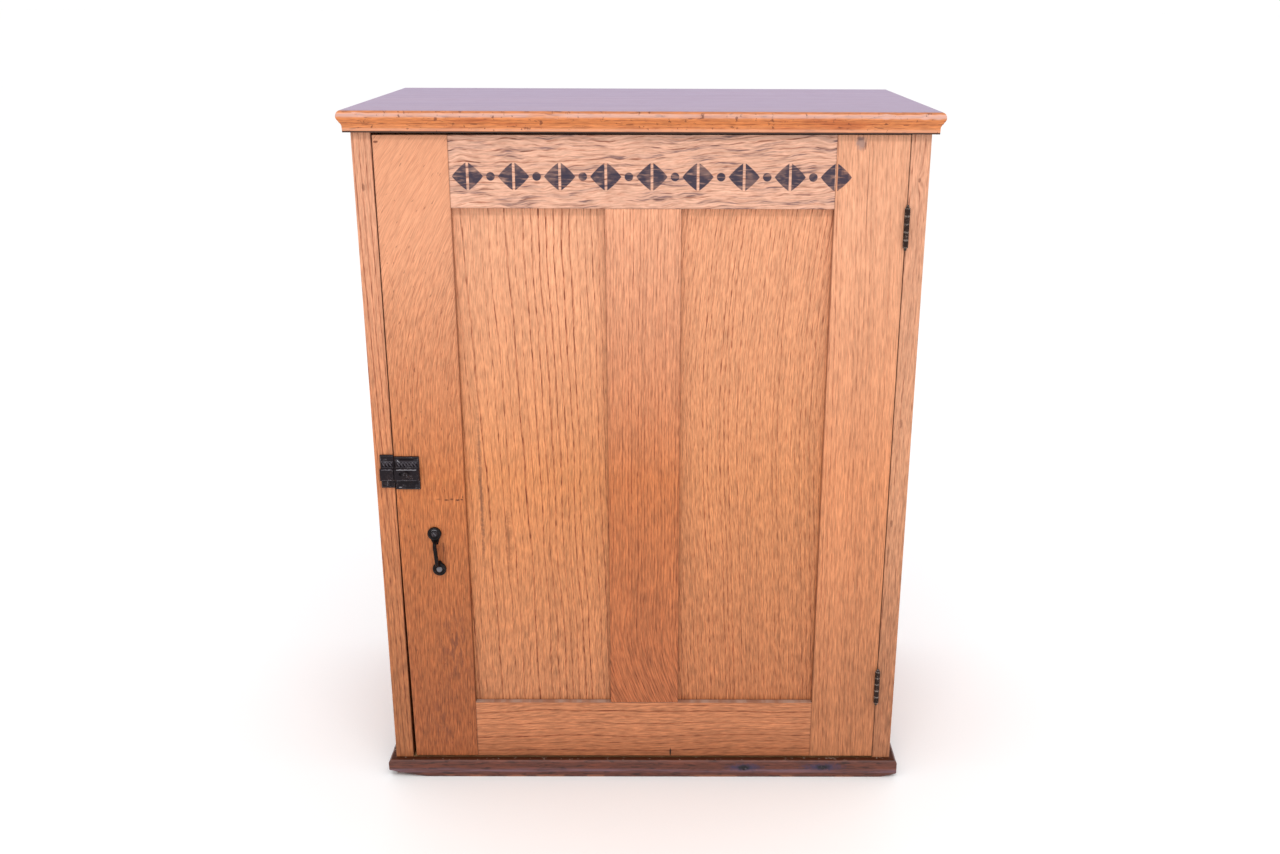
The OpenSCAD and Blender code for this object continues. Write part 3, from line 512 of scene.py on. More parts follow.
def dress_case():
    b = Board("oak_left_case_stile", 51.2, pith=(-0.60, 0.05), lean=(0.0, 0.02), bend=4 * MM)
    b.shade(tones((180, 118, 82), (218, 143, 100), (238, 174, 140)), lines=1.6, dashes=0.4, broken=0.2)
    b.edges({"x": (None, JAMB), "z": (BASE[1].z, UNDER_TOP)})
    b.mark(spot(LEFT_CASE, 11.5, 857), (3 * MM, 7 * MM), 0.6, DIRT_AND_SHADE, 0.9)
    dress("left_front_stile", b.shadow_under_top().done())

    knot_x, knot_z = spot(RIGHT_CASE, 13, 868)
    b = Board("oak_right_case_stile", 58.8, ring=4 * MM, pith=(0.66, 0.2), lean=(0.0, 0.02), bend=5 * MM,
              knots=(((knot_z, knot_x), 4 * MM),))
    b.shade(tones((184, 126, 94), (221, 160, 124), (232, 172, 140)), lines=0.6)
    b.edges({"x": (-JAMB, None), "z": (BASE[1].z, UNDER_TOP)})
    b.mark((knot_x, knot_z), (2 * MM, 4 * MM), 0.6, DIRT_AND_SHADE, 0.9)
    b.mark(spot(RIGHT_CASE, 10, 545), (2.5 * MM, 9 * MM), 0.5, DIRT_AND_SHADE, 1.0)
    b.mark(spot(RIGHT_CASE, 6, 400), (2 * MM, 8 * MM), 0.5, DIRT_AND_SHADE, 1.0)
    dress("right_front_stile", b.shadow_under_top().done())

    for i, side in enumerate(("left", "right")):
        seed = 60.5 + 10 * i
        b = Board("oak_" + side + "_back_stile", seed, across="y", depth="x", pith=(0.3, 0.1),
                  bend=8 * MM)
        dress(side + "_back_stile", b.shade(SIDE_TONES, 0.6, 0.4).done())
        b = Board("oak_" + side + "_side_panel", seed + 2.2, across="y", depth="x", ring=9 * MM,
                  pith=(0.02, -0.28 + 0.56 * i), lean=(0.01, 0.03), bend=10 * MM, band=0.22)
        dress(side + "_side_panel", b.shade(SIDE_TONES, 0.9, 0.3).done())
        for j, rail in enumerate(("top_rail", "bottom_rail")):
            b = Board("oak_" + side + "_" + rail, seed + 4.4 + j, "y", "z", "x", ring=6 * MM,
                      pith=(0.5 * j, 0.2))
            dress(side + "_" + rail, b.shade(SIDE_TONES, 0.7, 0.4).done())

    b = Board("oak_breaker", 81.7, pith=(0.1, 0.2), turned=-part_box("insulation_left")[1].x)
    dress("breaker_strips", b.shade(SIDE_TONES, 0.6, 0.4).done(rough=0.55, coat=0.0))
    for node in ("ice_bearers", "ice_grate_battens"):
        b = Board("oak_" + node, 90.3, "x", "z", pith=(0.8, 0.2))
        dress(node, b.shade(SIDE_TONES, 0.6, 0.4).done(rough=0.6, coat=0.0))
    b = Board("oak_slats", 95.1, "y", "x", "z", pith=(0.1, 0.8))
    dress("ice_grate_slats", b.shade(SIDE_TONES, 0.6, 0.4).done(rough=0.6, coat=0.0))


# ---------- other materials ----------

def iron(name, wear, tone=(30, 25, 28), rust=0.3, bright=(150, 148, 156), rough=0.5, specular=0.1,
         rings=0.0):
    """Black cast iron, rubbed bright on its high spots and between knuckles, brown in its hollows. The
    bright metal is worn and partly painted highlights.
    """
    g = Graph(name)
    lumps = g.noise(g.place, 900.0, 4.0, 0.6)
    patches = g.noise(g.place, 170.0, 3.0)
    colour = g.blend(g.ease(patches, 0.5, 0.75) * rust, paint(*tone), paint(70, 44, 34))
    # rubbed: worn metal on the high spots, partly painted highlights
    rubbed = g.ease(lumps + patches * 0.5, 0.84, 1.0) * wear
    # rings: bright bands at the knuckle joints, worn metal and partly painted highlights
    if rings:
        for node in ("lower_hinge_case_leaf", "upper_hinge_case_leaf"):
            low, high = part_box(node)[0].z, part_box(node)[1].z
            part = (g.z - low) / ((high - low) / KNUCKLES)
            joint = abs(part - g.math("FLOOR", part) - 0.5)
            here = g.math("LESS_THAN", abs(g.z - (low + high) / 2), (high - low) / 2 + 1 * MM)
            rubbed = g.most(rubbed, g.ease(joint, 0.36, 0.44) * here * g.ease(lumps, 0.4, 0.6) * rings)
    colour = g.blend(rubbed, colour, paint(*bright))
    height = lumps * 0.6 + patches * 0.4
    return g.finish(colour, rough - rubbed * 0.15 + lumps * 0.1, g.bump(height, 0.25 * MM),
                    metallic=rubbed * 0.8, specular=specular)


def zinc():
    """Dull zinc sheet: spangles, white bloom and a few dark runs."""
    g = Graph("zinc_sheet")
    away, flake = g.cells(g.place, 75.0)
    shine = g.node("SeparateColor", {0: flake}).outputs[0]
    bloom = g.ease(g.noise(g.place, 14.0, 5.0, 0.6), 0.42, 0.7)
    runs = g.ease(g.noise(g.xyz(g.x * 70, g.y * 70, g.z * 4), detail=4.0), 0.55, 0.75)
    runs = runs * g.ease(g.noise(g.place, 6.0, 2.0), 0.42, 0.6)
    colour = g.blend(Value(g, shine) * 0.45, paint(146, 150, 154), paint(178, 182, 186))
    colour = g.blend(bloom * 0.55, colour, paint(196, 197, 192))
    colour = g.tint(colour, runs * 0.45, paint(120, 110, 98))
    dents = g.noise(g.place, 9.0, 2.0)
    normal = g.bump(away, 0.04 * MM, g.bump(dents, 2.0 * MM))
    return g.finish(colour, 0.38 + bloom * 0.3, normal, metallic=0.75 - bloom * 0.45)


def cork():
    """Pressed cork: dark and pale granules with pits between them."""
    g = Graph("pressed_cork")
    away, grain = g.cells(g.place, 330.0)
    fine = g.noise(g.place, 1400.0, 3.0)
    shade = Value(g, g.node("SeparateColor", {0: grain}).outputs[1])
    colour = g.ramp(shade, [(0.0, paint(92, 58, 38)), (0.45, paint(150, 104, 68)),
                            (1.0, paint(190, 146, 102))])
    colour = g.scaled(colour, 0.8 + fine * 0.4)
    pits = g.ease(away, 0.25, 0.6)
    normal = g.bump((1 - pits) + fine * 0.4, 0.5 * MM)
    return g.finish(g.tint(colour, pits * 0.6, DIRT_AND_SHADE), 0.9, normal, specular=0.2)


def felt():
    """Grey-brown felt with loose fibres."""
    g = Graph("wool_felt")
    fibres = g.noise(g.place, 1100.0, 5.0, 0.7, 1.2)
    tufts = g.noise(g.place, 120.0, 3.0)
    colour = g.blend(fibres, paint(96, 86, 74), paint(168, 156, 138))
    colour = g.tint(colour, g.ease(tufts, 0.45, 0.7) * 0.5, paint(140, 120, 100))
    return g.finish(colour, 0.95, g.bump(fibres, 0.6 * MM), specular=0.15, sheen=0.4)


def tinned_wire():
    """Tinned steel wire, dull, with rust coming through."""
    g = Graph("tinned_wire")
    spots = g.ease(g.noise(g.place, 130.0, 4.0), 0.52, 0.68)
    smear = g.noise(g.place, 700.0, 3.0)
    colour = g.blend(smear, paint(150, 152, 156), paint(196, 198, 200))
    colour = g.blend(spots * 0.55, colour, paint(120, 78, 52))
    return g.finish(colour, 0.3 + spots * 0.4 + smear * 0.1, g.bump(smear, 0.1 * MM),
                    metallic=0.95 - spots * 0.6)


def pine(name, seed, grain, across, depth, pith):
    """Bare planed pine."""
    b = Board(name, seed, grain, across, depth, ring=7 * MM, pith=pith, lean=(0.01, 0.02), bend=9 * MM)
    b.shade([(0.0, paint(176, 138, 98)), (0.5, paint(206, 168, 122)), (1.0, paint(214, 178, 134))],
            0.75, 0.1, line=paint(196, 146, 104))
    return b.done(rough=0.62, coat=0.0, specular=0.25)


def back_pine(low, high):
    """Upright boards of bare pine, each with its own grain and tone, dark at the joints and the foot."""
    width = (high.x - low.x) / BACK_BOARDS
    b = Board("pine_back", 101.3, "z", "x", "y", ring=7 * MM, pith=(0.0, low.y + 0.09),
              lean=(0.01, 0.03), bend=10 * MM, wild=(2 * MM, 8), band=0.4, split=(low.x, width))
    g = b.g
    b.shade([(0.0, paint(150, 112, 78)), (0.25, paint(178, 138, 98)), (1.0, paint(186, 148, 106))],
            0.8, 0.2, line=paint(192, 142, 100), mottle=1.5)
    b.colour = g.scaled(b.colour, 0.82 + b.luck * 0.32)
    b.colour = g.tint(b.colour, (1 - g.ease(b.gap, 0.5 * MM, 6 * MM)) * (0.35 + 0.4 * b.broad), DIRT_AND_SHADE)
    damp = g.ease(g.z + (g.noise(g.xyz(g.x * 14, 0.0, 0.0), detail=3.0) - 0.5) * 0.12, 0.02, 0.12)
    b.colour = g.tint(b.colour, (1 - damp) * 0.6, paint(140, 112, 92))
    for z in back_nail_rows(high):
        for i in range(2 * BACK_BOARDS):
            x = low.x + width * (i + 0.5) / 2
            b.mark((x, z - 5 * MM), (4.5 * MM, 11 * MM), 0.6, paint(84, 66, 62), 0.9, 0.9)
    return b.done(rough=0.66, coat=0.0, specular=0.2)


def back_nail_rows(high):
    """The heights of the nails in the back boards."""
    return 16 * MM, high.z * 0.5, high.z - 16 * MM


def dress_rest():
    """Gives every CAD node that isn't oak its material."""
    plain = {
        zinc(): ("liner", "door_liner", "shelf_cleats", "ice_pan", "drain_pipe", "floor_drain"),
        cork(): ("insulation_left", "insulation_right", "insulation_back", "insulation_top",
                 "insulation_bottom", "door_core"),
        felt(): ("door_gasket",),
        tinned_wire(): ("upper_wire_shelf", "lower_wire_shelf"),
        iron("iron_casting", 0.4, (34, 28, 32)): ("latch_case", "latch_keeper"),
        iron("iron_pull", 0.25, (18, 11, 11), 0.1, (130, 122, 128), 0.3, 0.12): ("pull_handle",),
        iron("iron_bolt", 0.6): ("latch_bolt", "latch_spring"),
        iron("iron_knob", 0.5): ("latch_knob",),
        iron("iron_hinge", 0.5, (44, 32, 28), 0.6, (196, 180, 170), rings=0.6):
            ("upper_hinge_case_leaf", "upper_hinge_door_leaf", "lower_hinge_case_leaf",
             "lower_hinge_door_leaf"),
        iron("iron_pin", 0.9, (72, 62, 56)): ("hinge_pins", "hinge_case_screws", "hinge_door_screws"),
        iron("iron_screw", 0.7, (50, 46, 50)):
            ("latch_screws", "keeper_screws", "pull_screws", "base_nails"),
        pine("pine_bottom", 107.7, "x", "y", "z", (0.0, -0.2)): ("bottom_board",),
        pine("pine_plug", 113.9, "z", "x", "y", (0.3, 0.1)): ("door_plug_frame",),
    }
    for material, nodes in plain.items():
        for node in nodes:
            dress(node, material)


# ---------- pieces ----------

def piece(name, bm, material, body):
    """An object of a bmesh, smooth where its faces meet gently, on a body and in a material slot."""
    crease = math.radians(35)
    bm.normal_update()
    for face in bm.faces:
        face.smooth = True
    for edge in bm.edges:
        edge.smooth = len(edge.link_faces) == 2 and edge.calc_face_angle() < crease
    mesh = bpy.data.meshes.new(name)
    bm.to_mesh(mesh)
    bm.free()
    mesh.materials.append(material)
    made = bpy.data.objects.new(name, mesh)
    bpy.context.scene.collection.objects.link(made)
    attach(made, body)
    return made


def arc(centre, radius, start, end, steps):
    """Points round a circle from one angle to another, in degrees."""
    turns = [math.radians(start + (end - start) * i / steps) for i in range(steps + 1)]
    return [(centre[0] + radius * math.cos(t), centre[1] + radius * math.sin(t)) for t in turns]


def skin(bm, rings, closed):
    """Quads between rings of points, each ring closed or open. Returns the rings' vertices."""
    made = [[bm.verts.new(point) for point in ring] for ring in rings]
    count = len(made[0])
    for low, high in zip(made, made[1:]):
        for j in range(count if closed else count - 1):
            k = (j + 1) % count
            bm.faces.new((low[j], low[k], high[k], high[j]))
    return made


def knock(bm, place, radius, depth):
    """Dents a surface, along its normals."""
    for vert in bm.verts:
        away = (vert.co - Vector(place)).length / radius
        if away < 1:
            vert.co -= vert.normal * (depth * (1 - away * away) ** 2)


def make_crown():
    """The top board with its moulded edge on three sides, dented and rubbed along the nose; painted
    highlights and painted shade on the moulding.
    """
    reach, foot, fillet, cove, nose = TOP_HI.x - SIDE, 8 * MM, 6 * MM, 9 * MM, 6.8 * MM
    top = TOP_HI.z
    profile = [(foot, UNDER_TOP), (foot + 0.1 * MM, UNDER_TOP + 1 * MM)]
    profile += arc((foot + cove + 0.3 * MM, UNDER_TOP + fillet), cove, 180, 136, 8)
    flat = 0.75
    profile += [(reach - flat * (nose - r), top - nose + z) for r, z in arc((0, 0), nose, -55, 90, 18)]
    back = TOP_HI.y
    side_steps, front_steps = 120, 300
    rings = []
    for i in range(side_steps):
        s = i / side_steps
        rings.append([(-SIDE - r, back + s * (FRONT - r - back), z) for r, z in profile])
    for i in range(front_steps):
        s = i / front_steps
        rings.append([((2 * s - 1) * (SIDE + r), FRONT - r, z) for r, z in profile])
    for i in range(side_steps + 1):
        s = i / side_steps
        rings.append([(SIDE + r, FRONT - r + s * (back - FRONT + r), z) for r, z in profile])
    bm = bmesh.new()
    made = skin(bm, rings, False)
    bm.faces.new([ring[-1] for ring in made])
    bm.faces.new([ring[0] for ring in reversed(made)])
    bm.faces.new(made[-1] + made[0][::-1])
    bmesh.ops.recalc_face_normals(bm, faces=bm.faces[:])
    # along from the middle, back from the nose, down from the top, radius and depth, in millimetres
    dents = ((-376, 5, 4.3, 6, 1.0), (-352, 0, 3.3, 4, 1.1), (-345, 0, 4.8, 3, 0.9),
             (-247, 0, 2.8, 8, 0.5), (-114, 1, 2.3, 7, 0.9), (-104, 0, 7.8, 5, 0.9),
             (118, 0, 3.3, 6, 0.5), (301, 0, 4.3, 5, 1.0), (318, 0, 1.3, 8, 0.8),
             (349, 0, 3.8, 6, 1.2), (366, 3, 5.3, 6, 1.3))
    bm.normal_update()
    for along, behind, down, radius, depth in dents:
        knock(bm, (along * MM, TOP_LO.y + behind * MM, top - down * MM), radius * MM, depth * MM)
    for vert in bm.verts:
        if UNDER_TOP + fillet < vert.co.z < top - 0.2 * MM:
            rub = noise.noise(vert.co * 55) + 0.6 * noise.noise(vert.co * 240)
            vert.co -= vert.normal * (0.16 * MM * max(0, 1 + rub))
    b = Board("oak_crown", 71.4, "x", "y", "z", ring=5 * MM, pith=(0.10, 0.30), bend=9 * MM, band=0.35)
    g = b.g
    level = g.ease(g.up, 0.86, 0.985)
    b.shade([(0.0, seen(232, 150, 98)), (1.0, seen(232, 150, 98))], lines=0.6, dashes=0.4)
    b.specks(0.6, 0.68, 60.0)
    # painted shade: faces turned down, under the nose and in the cove, are darker
    b.colour = g.tint(b.colour, 1 - g.ease(g.up, -0.55, 0.02), paint(255, 246, 222))
    b.colour = g.tint(b.colour, g.ease(b.streaks(60, 9, 4.0), 0.52, 0.68) * 0.55, paint(214, 172, 138))
    rise = g.z - UNDER_TOP
    # painted highlight: a paler band along the foot's edge
    b.over((1 - g.ease(abs(rise - 3.6 * MM), 0.5 * MM, 2.6 * MM)) * 0.55, seen(238, 176, 146))
    # painted shadow: a dark line along the crown's foot, where it overhangs the door
    b.over(1 - g.ease(rise, 1.5 * MM, 2.3 * MM), paint(56, 26, 13))
    # painted highlight along the nose, broken up by noise
    nose_highlight = g.ease(g.up, -0.25, 0.1) * (1 - g.ease(g.up, 0.3, 0.6)) * g.ease(rise, 9 * MM, 13 * MM)
    nose_highlight = nose_highlight * g.ease(g.noise(g.xyz(g.x * 16, g.y * 16, g.z * 16), detail=4.0), 0.3, 0.5, 0.4, 1.0)
    b.over(nose_highlight * 0.55, seen(234, 198, 190))
    b.colour = g.tint(b.colour, g.ease(g.up, 0.35, 0.7) * (1 - level), paint(232, 226, 224))
    aged = g.scaled(paint(146, 114, 98)[:3], 0.5 + b.tone * 0.5 + b.streaks(420, 9, 3.0) * 0.5)
    b.colour = g.blend(level, b.colour, aged)
    chips = g.ease(g.noise(g.place, 140.0, 4.0, 0.6), 0.61, 0.68)
    b.colour = g.tint(b.colour, chips * (1 - level) * 0.7, DIRT_AND_SHADE)
    for x, size in ((-0.262, 3.0), (-0.105, 3.0), (0.03, 8.0), (0.165, 4.0)):
        dent = g.oval((x, TOP_HI.y), (size * MM, 9 * MM), "xy", 0.6, 0.6)
        b.colour = g.tint(b.colour, dent * level, DIRT_AND_SHADE)
    finish = b.done(rough=0.5, coat=0.4 - level * 0.4, coat_rough=0.2, sheen=level * 0.5,
                    sheen_tint=(0.5, 0.5, 0.9, 1))
    made = piece("crown", bm, finish, "case")
    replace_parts(made, "top_board")
    for polygon in made.data.polygons:
        if len(polygon.vertices) > 4:
            polygon.use_smooth = False


def make_base():
    """The base moulding: mitred lengths, rounded by wear and gone at the front corners' undersides."""
    height, reach = BASE[1].z, FRONT - BASE[0].y
    round_r, wear = 5.5 * MM, 1 * MM
    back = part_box("base_mould_left")[1].y
    profile = [(0, 0), (4 * MM, 0), (reach - wear, 0), (reach - 0.3 * MM, wear), (reach, 3 * wear),
               (reach, 12 * MM)]
    profile += arc((reach - round_r, height - round_r), round_r, 0, 90, 10)
    profile += [(2 * MM, height), (0, height)]

    b = Board("oak_base", 77.2, "x", "y", "z", ring=4 * MM, pith=(0.1, 0.3), bend=7 * MM)
    g = b.g
    b.shade([(0.0, paint(96, 49, 35)), (1.0, paint(96, 49, 35))], lines=0.8, dashes=0.6, thread=1.0)
    b.specks(0.7, 0.6, 50.0)
    patches = g.noise(g.xyz(g.x * 22, g.y * 22, g.z * 160), detail=4.0)
    b.over(g.ease(patches, 0.5, 0.68) * 0.55, paint(124, 62, 40))
    # painted reflection: a mauve sheen band across the rounded front
    band = 1 - g.ease(abs(g.z - height * 0.4 + (b.tone - 0.5) * 9 * MM), 1 * MM, 4.5 * MM)
    b.over(band * g.ease(b.streaks(300, 12, 3.0), 0.35, 0.6, 0.15, 0.6), seen(140, 112, 124))
    rubbed = g.ease(g.noise(g.xyz(g.x * 30, g.y * 30, g.z * 90), detail=4.0), 0.5, 0.6)
    b.over(rubbed * (1 - g.ease(g.z, 1.5 * MM, 5 * MM)) * 0.6, paint(168, 104, 72))
    ledge = g.ease(g.up, 0.8, 0.97)
    b.over(ledge * g.ease(g.noise(g.place, 60.0, 3.0), 0.3, 0.6, 0.8, 1.0), paint(70, 36, 21))
    b.over(ledge * g.ease(g.noise(g.place, 170.0, 4.0), 0.6, 0.7) * 0.6, paint(150, 132, 118))
    for right, up, wide in ((520, 16, 40), (636, 17, 44)):
        nail = spot(BASE, right, up)
        b.over(g.oval(nail, (wide * MM, 9 * MM), ragged=0.9, soft=0.9) * 0.85, paint(44, 44, 78))
        b.mark(nail, (13 * MM, 6 * MM), 1.0, paint(30, 26, 34), 0.9, 0.8)
    material = b.done(rough=0.4, coat=0.3 - ledge * 0.3, coat_rough=0.3, specular=0.35 - ledge * 0.3)

    def lift(x, y):
        """How far the underside is worn away near the front corners."""
        left = max(0.0, 1 - (x + SIDE + reach) / (57 * MM))
        right = max(0.0, 1 - (SIDE + reach - x) / (27 * MM))
        fade = max(0.0, 1 - (y - FRONT + reach) / (40 * MM)) if y < FRONT + 30 * MM else 0.0
        return fade * (10.5 * MM * left ** 1.3 + 5.5 * MM * right ** 1.5)

    def length(name, node, steps, place):
        rings = []
        for i in range(steps + 1):
            ring = []
            for r, z in profile:
                x, y = place(i / steps, r)
                ring.append(Vector((x, y, z + lift(x, y) * (1 - z / height) ** 1.5)))
            rings.append(ring)
        bm = bmesh.new()
        made = skin(bm, rings, True)
        bm.faces.new(made[0])
        bm.faces.new(made[-1][::-1])
        bmesh.ops.recalc_face_normals(bm, faces=bm.faces[:])
        for vert in bm.verts:
            outside = FRONT - vert.co.y > 1 * MM or abs(vert.co.x) > SIDE + 1 * MM
            if outside and vert.co.z > 0.5 * MM:
                rub = noise.noise(vert.co * 60) + 0.5 * noise.noise(vert.co * 260)
                vert.co -= vert.normal * (0.2 * MM * max(0, 1 + rub))
        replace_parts(piece(name, bm, material, "case"), node)

    length("base_front", "base_mould_front", 320, lambda s, r: ((2 * s - 1) * (SIDE + r), FRONT - r))
    for name, side in (("left", -1), ("right", 1)):
        length("base_" + name, "base_mould_" + name, 160,
               lambda s, r, side=side: (side * (SIDE + r), FRONT - r + s * (back - FRONT + r)))


def bead(bm, centre, size, turn=0.0):
    """A small rounded lump, turned in the door's plane."""
    place = Matrix.Translation(centre) @ Matrix.Rotation(turn, 4, "Y") @ Matrix.Diagonal((*size, 1))
    bmesh.ops.create_uvsphere(bm, u_segments=16, v_segments=10, radius=1.0, matrix=place)


def tube(bm, points, radius):
    """A round bar through points, drawn in at its ends."""
    sides, drawn_in, ahead_by = 10, 0.5, 0.8
    turns = [2 * math.pi * k / sides for k in range(sides)]
    rings = []
    last = len(points) - 1
    side = (points[1] - points[0]).orthogonal()
    for i, point in enumerate(points):
        ahead = (points[min(i + 1, last)] - points[max(i - 1, 0)]).normalized()
        side = (side - ahead * side.dot(ahead)).normalized()
        other = ahead.cross(side)
        stations = [(0, 1)]
        if i == 0:
            stations.insert(0, (-ahead_by, drawn_in))
        if i == last:
            stations.append((ahead_by, drawn_in))
        for shift, size in stations:
            at = point + ahead * (shift * radius)
            rings.append([at + (side * math.cos(t) + other * math.sin(t)) * (radius * size)
                          for t in turns])
    made = skin(bm, rings, True)
    bm.faces.new(made[0][::-1])
    bm.faces.new(made[-1])


def make_latch_relief():
    """Rope bands, ridges and rims cast on the latch's two plates, with painted highlights in lighter
    metal on the rope, the door's upper ridge and a screw slot, and a bright worn chip on the lower rim.
    """
    # bright worn metal that also stands in for painted highlights
    worn = iron("iron_worn_and_glint", 1.0, (120, 116, 122), 0.0, (225, 225, 230), 0.3, 1.0)
    plain = iron("iron_relief", 0.9, (44, 38, 42), 0.1, (150, 148, 156), 0.34, 0.3)
    # the rope is lighter metal than the plate: worn high spots, partly painted highlights
    rope = iron("iron_rope", 0.8, (72, 66, 73), 0.0, (180, 178, 186), 0.3, 0.4)
    for body, node in (("door", "latch_case"), ("case", "latch_keeper")):
        lo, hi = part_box(node)
        plate, house = FRONT - 3 * MM, lo.y
        left, right = lo.x + 3.5 * MM, hi.x - 3.5 * MM
        if body == "case":
            left, right = lo.x + 2.5 * MM, hi.x - 2 * MM
        count = round((right - left) / (4.4 * MM))
        bm = bmesh.new()
        band_z = BOLT.z + 12.6 * MM
        for i in range(count):
            x = left + (i + 0.5) * (right - left) / count
            bead(bm, (x, plate - 0.3 * MM, band_z), (1.0 * MM, 1.5 * MM, 3.6 * MM), math.radians(-28))
            bead(bm, (x + 1.3 * MM, plate, band_z + 2.9 * MM), (1.3 * MM, 1.0 * MM, 1.0 * MM))
        for z in (band_z - 4.2 * MM, band_z + 4.4 * MM):
            tube(bm, [Vector((left - 1 * MM, plate, z)), Vector((right + 1 * MM, plate, z))], 0.55 * MM)
        piece("rope_band_" + body, bm, rope, body)
        bm = bmesh.new()
        inset = 1.2 * MM
        corners = [(lo.x + inset, lo.z + inset), (hi.x - inset, lo.z + inset),
                   (hi.x - inset, hi.z - inset), (lo.x + inset, hi.z - inset)]
        for a, b in zip(corners, corners[1:] + corners[:1]):
            beside_jamb = a[0] > JAMB - 2 * MM if body == "case" else a[0] < JAMB + 6 * MM
            if a[0] != b[0] or not beside_jamb:
                tube(bm, [Vector((a[0], plate, a[1])), Vector((b[0], plate, b[1]))], 0.6 * MM)
        piece("rim_" + body, bm, plain, body)
        steps = [left + (right - left) * i / 12 for i in range(13)]
        for side, drop, r in (("upper", 7.6 * MM, 0.7 * MM), ("lower", -7.4 * MM, 0.4 * MM)):
            bm = bmesh.new()
            wave = [0.12 * MM * math.sin(900 * x) for x in steps]
            tube(bm, [Vector((x, house + r * 0.6, BOLT.z + drop + w)) for x, w in zip(steps, wave)], r)
            # the door's upper ridge gets the bright metal: a painted highlight line, with wear
            bright = body == "door" and side == "upper"
            piece(side + "_ridge_" + body, bm, worn if bright else rope, body)
    lo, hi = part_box("latch_case")
    # a painted glint along the upper left screw's slot, and a bright worn chip on the lower rim
    bm = bmesh.new()
    place = (lo.x + 5.6 * MM, FRONT - 3.4 * MM, hi.z - 6.5 * MM)
    bead(bm, place, (2.6 * MM, 0.6 * MM, 0.7 * MM), math.radians(42))
    place = (lo.x + 6.2 * MM, FRONT - 3.2 * MM, lo.z + 3.2 * MM)
    bead(bm, place, (2.2 * MM, 0.6 * MM, 0.9 * MM))
    piece("latch_chip_and_glint", bm, worn, "door")


def make_pull_relief():
    """Raised rims on the pull's two flanges, a domed screw in the lower one, and painted highlights in
    bright metal: on the dome, along the upper screw's slot, on an arc of its rim and at the flange's
    tail.
    """
    metal = iron("iron_pull_rim", 0.6, (20, 15, 17), 0.1, (130, 128, 134), 0.3, 0.2)
    # bright metal that stands in for painted highlights
    screw = iron("iron_glints", 0.9, (96, 92, 98), 0.1, (220, 220, 226), 0.3, 0.8)
    lo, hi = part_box("pull_screws")
    head = 4.2 * MM
    top, foot = Vector((lo.x + head, 0, hi.z - head)), Vector((hi.x - head, 0, lo.z + head))
    face = FRONT - 3.2 * MM
    for name, at in (("upper", top), ("lower", foot)):
        bm = bmesh.new()
        ring = arc((at.x, at.z), 7.9 * MM, 0, 360, 32)
        tube(bm, [Vector((x, face, z)) for x, z in ring], 0.8 * MM)
        piece("pull_rim_" + name, bm, metal, "door")
    bm = bmesh.new()
    bead(bm, (foot.x, face, foot.z), (head, 2.4 * MM, head))
    slot = Vector((1.7 * MM, 0, -2.2 * MM))
    head_centre = Vector((top.x, face, top.z))
    tube(bm, [head_centre - slot, head_centre, head_centre + slot], 0.45 * MM)
    rim = arc((top.x, top.z), 5.9 * MM, 50, 130, 10)
    tube(bm, [Vector((x, face, z)) for x, z in rim], 0.4 * MM)
    bead(bm, (top.x + 1.2 * MM, face - 0.4 * MM, top.z - 15 * MM), (1.2 * MM, 0.8 * MM, 0.9 * MM))
    piece("pull_glints", bm, screw, "door")


def make_back():
    """Upright back boards with a V at every joint, each a little hollow across, and their nails."""
    low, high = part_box("back_boards")
    width = (high.x - low.x) / BACK_BOARDS
    gap, chamfer, hollow, steps = 0.25 * MM, 2 * MM, 0.5 * MM, 8
    material = back_pine(low, high)
    bm = bmesh.new()
    for i in range(BACK_BOARDS):
        left, right = low.x + i * width + gap, low.x + (i + 1) * width - gap
        section = [(left, low.y), (right, low.y), (right, high.y - chamfer)]
        for j in range(steps + 1):
            s = j / steps
            x = right - chamfer + s * (left - right + 2 * chamfer)
            section.append((x, high.y - hollow * 4 * s * (1 - s)))
        section.append((left, high.y - chamfer))
        rings = [[(x, y, low.z + (high.z - low.z) * k / 24) for x, y in section] for k in range(25)]
        made = skin(bm, rings, True)
        bm.faces.new(made[0][::-1])
        bm.faces.new(made[-1])
    bmesh.ops.recalc_face_normals(bm, faces=bm.faces[:])
    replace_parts(piece("back_board_set", bm, material, "case"), "back_boards")

    metal = iron("iron_back_nail", 0.6, (74, 64, 62), 0.6, (150, 140, 136), 0.5)
    bm = bmesh.new()
    for i in range(2 * BACK_BOARDS):
        for z in back_nail_rows(high):
            bead(bm, (low.x + width * (i + 0.5) / 2, high.y - 0.6 * MM, z), (3 * MM, 0.6 * MM, 3 * MM))
    piece("back_nails", bm, metal, "case")


def make_tacks():
    """Tacks through the gasket round the door's zinc."""
    metal = iron("iron_tack", 0.6, (96, 90, 90), 0.3, (170, 168, 170), 0.4, 0.5)
    lo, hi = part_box("door_gasket")
    bm = bmesh.new()
    inset, gap = 10 * MM, 60 * MM
    columns = round((hi.x - lo.x) / gap)
    rows = round((hi.z - lo.z) / gap)
    places = [(lo.x + inset + (hi.x - lo.x - 2 * inset) * i / columns, z)
              for i in range(columns + 1) for z in (lo.z + inset, hi.z - inset)]
    places += [(x, lo.z + inset + (hi.z - lo.z - 2 * inset) * i / rows)
               for i in range(1, rows) for x in (lo.x + inset, hi.x - inset)]
    for x, z in places:
        bead(bm, (x, hi.y - 0.4 * MM, z), (2.6 * MM, 1.0 * MM, 2.6 * MM))
    piece("gasket_tacks", bm, metal, "door")


dress_door()
dress_case()
dress_rest()
make_crown()
make_base()
make_latch_relief()
make_pull_relief()
make_back()
make_tacks()

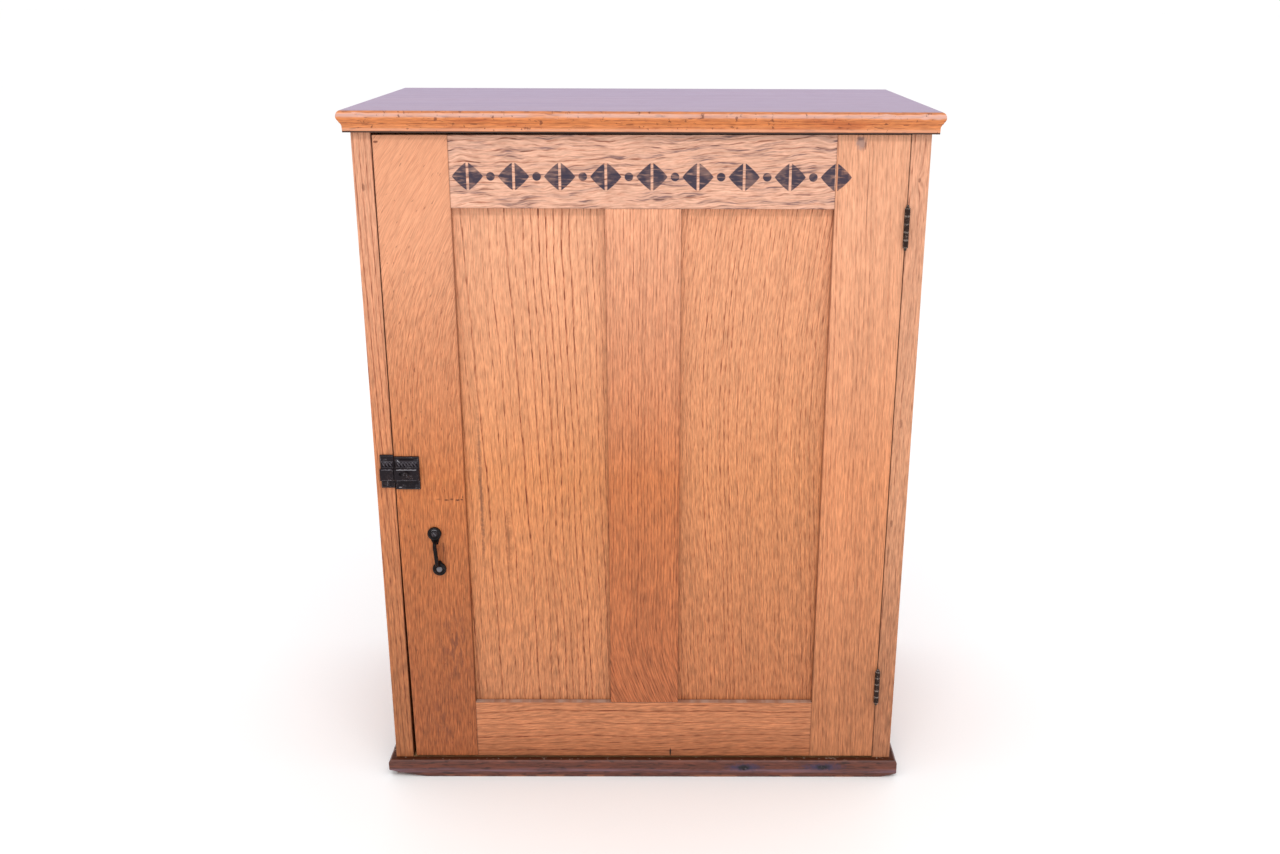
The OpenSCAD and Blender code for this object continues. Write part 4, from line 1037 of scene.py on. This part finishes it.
for node in ("door_left_stile", "door_right_stile", "door_top_rail", "door_bottom_rail", "door_muntin"):
    ease_edges(node, 0.5 * MM)
for part in ("front_stile", "back_stile", "top_rail", "bottom_rail"):
    ease_edges("left_" + part, 0.5 * MM)
    ease_edges("right_" + part, 0.5 * MM)
for node in ("latch_case", "latch_keeper", "pull_handle"):
    ease_edges(node, 0.35 * MM)


# ---------- stage ----------

def area_light(name, place, target, size, power, colour):
    """A soft light, out of the camera's sight."""
    light = bpy.data.lights.new(name, "AREA")
    light.shape, light.size, light.size_y = "RECTANGLE", size[0], size[1]
    light.energy, light.color = power, colour
    lamp = bpy.data.objects.new(name, light)
    bpy.context.scene.collection.objects.link(lamp)
    lamp.location = place
    lamp.rotation_euler = (Vector(target) - Vector(place)).to_track_quat("-Z", "Y").to_euler()
    lamp.visible_camera = False


def make_stage():
    """A pale paper floor, white surroundings, a soft light above the front and a blue one behind."""
    g = Graph("floor_paper")
    grain = g.noise(g.place, 400.0, 3.0)
    white = g.scaled((0.95, 0.95, 0.95), 0.98 + grain * 0.04)
    g.finish(white, 0.85, g.bump(grain, 0.05 * MM), specular=0.2)
    half = 150.0
    corners = [(-half, -half, 0), (half, -half, 0), (half, half, 0), (-half, half, 0)]
    mesh = bpy.data.meshes.new("floor")
    mesh.from_pydata(corners, [], [(0, 1, 2, 3)])
    mesh.materials.append(g.material)
    floor = bpy.data.objects.new("floor", mesh)
    bpy.context.scene.collection.objects.link(floor)
    floor.location.z = -0.2 * MM

    world = bpy.data.worlds.new("studio")
    world.use_nodes = True
    background = world.node_tree.nodes["Background"]
    background.inputs["Color"].default_value = (1.0, 1.0, 1.0, 1.0)
    background.inputs["Strength"].default_value = 1.06
    bpy.context.scene.world = world

    area_light("key", (0.2, -2.0, 3.0), (0, 0, 0.8), (2.4, 0.25), 26, (1.0, 0.97, 0.96))
    area_light("back", (0.0, 2.6, 1.9), (0, 0.2, 0.95), (3.2, 1.2), 5, (0.35, 0.4, 1.0))


def make_camera():
    """The viewing point, turned down and slightly to the right, with a small roll."""
    distance, height, aside = 1.6061, 1.0812, 0.0253
    pitch, yaw, roll = math.radians(18.638), math.radians(0.257), math.radians(0.226)
    ahead = Vector((math.sin(yaw) * math.cos(pitch), math.cos(yaw) * math.cos(pitch), -math.sin(pitch)))
    right = Vector((math.cos(yaw), -math.sin(yaw), 0))
    up = right.cross(ahead)
    across = right * math.cos(roll) + up * math.sin(roll)
    upward = up * math.cos(roll) - right * math.sin(roll)
    turn = Matrix((across, upward, -ahead)).transposed()
    data = bpy.data.cameras.new("camera")
    data.lens, data.sensor_width = 35.54, 36.0
    data.shift_x = -0.0207
    camera = bpy.data.objects.new("camera", data)
    camera.matrix_world = Matrix.Translation((aside, FRONT - distance, height)) @ turn.to_4x4()
    bpy.context.scene.collection.objects.link(camera)
    bpy.context.scene.camera = camera


make_stage()
make_camera()
bpy.context.scene.view_settings.view_transform = "Standard"
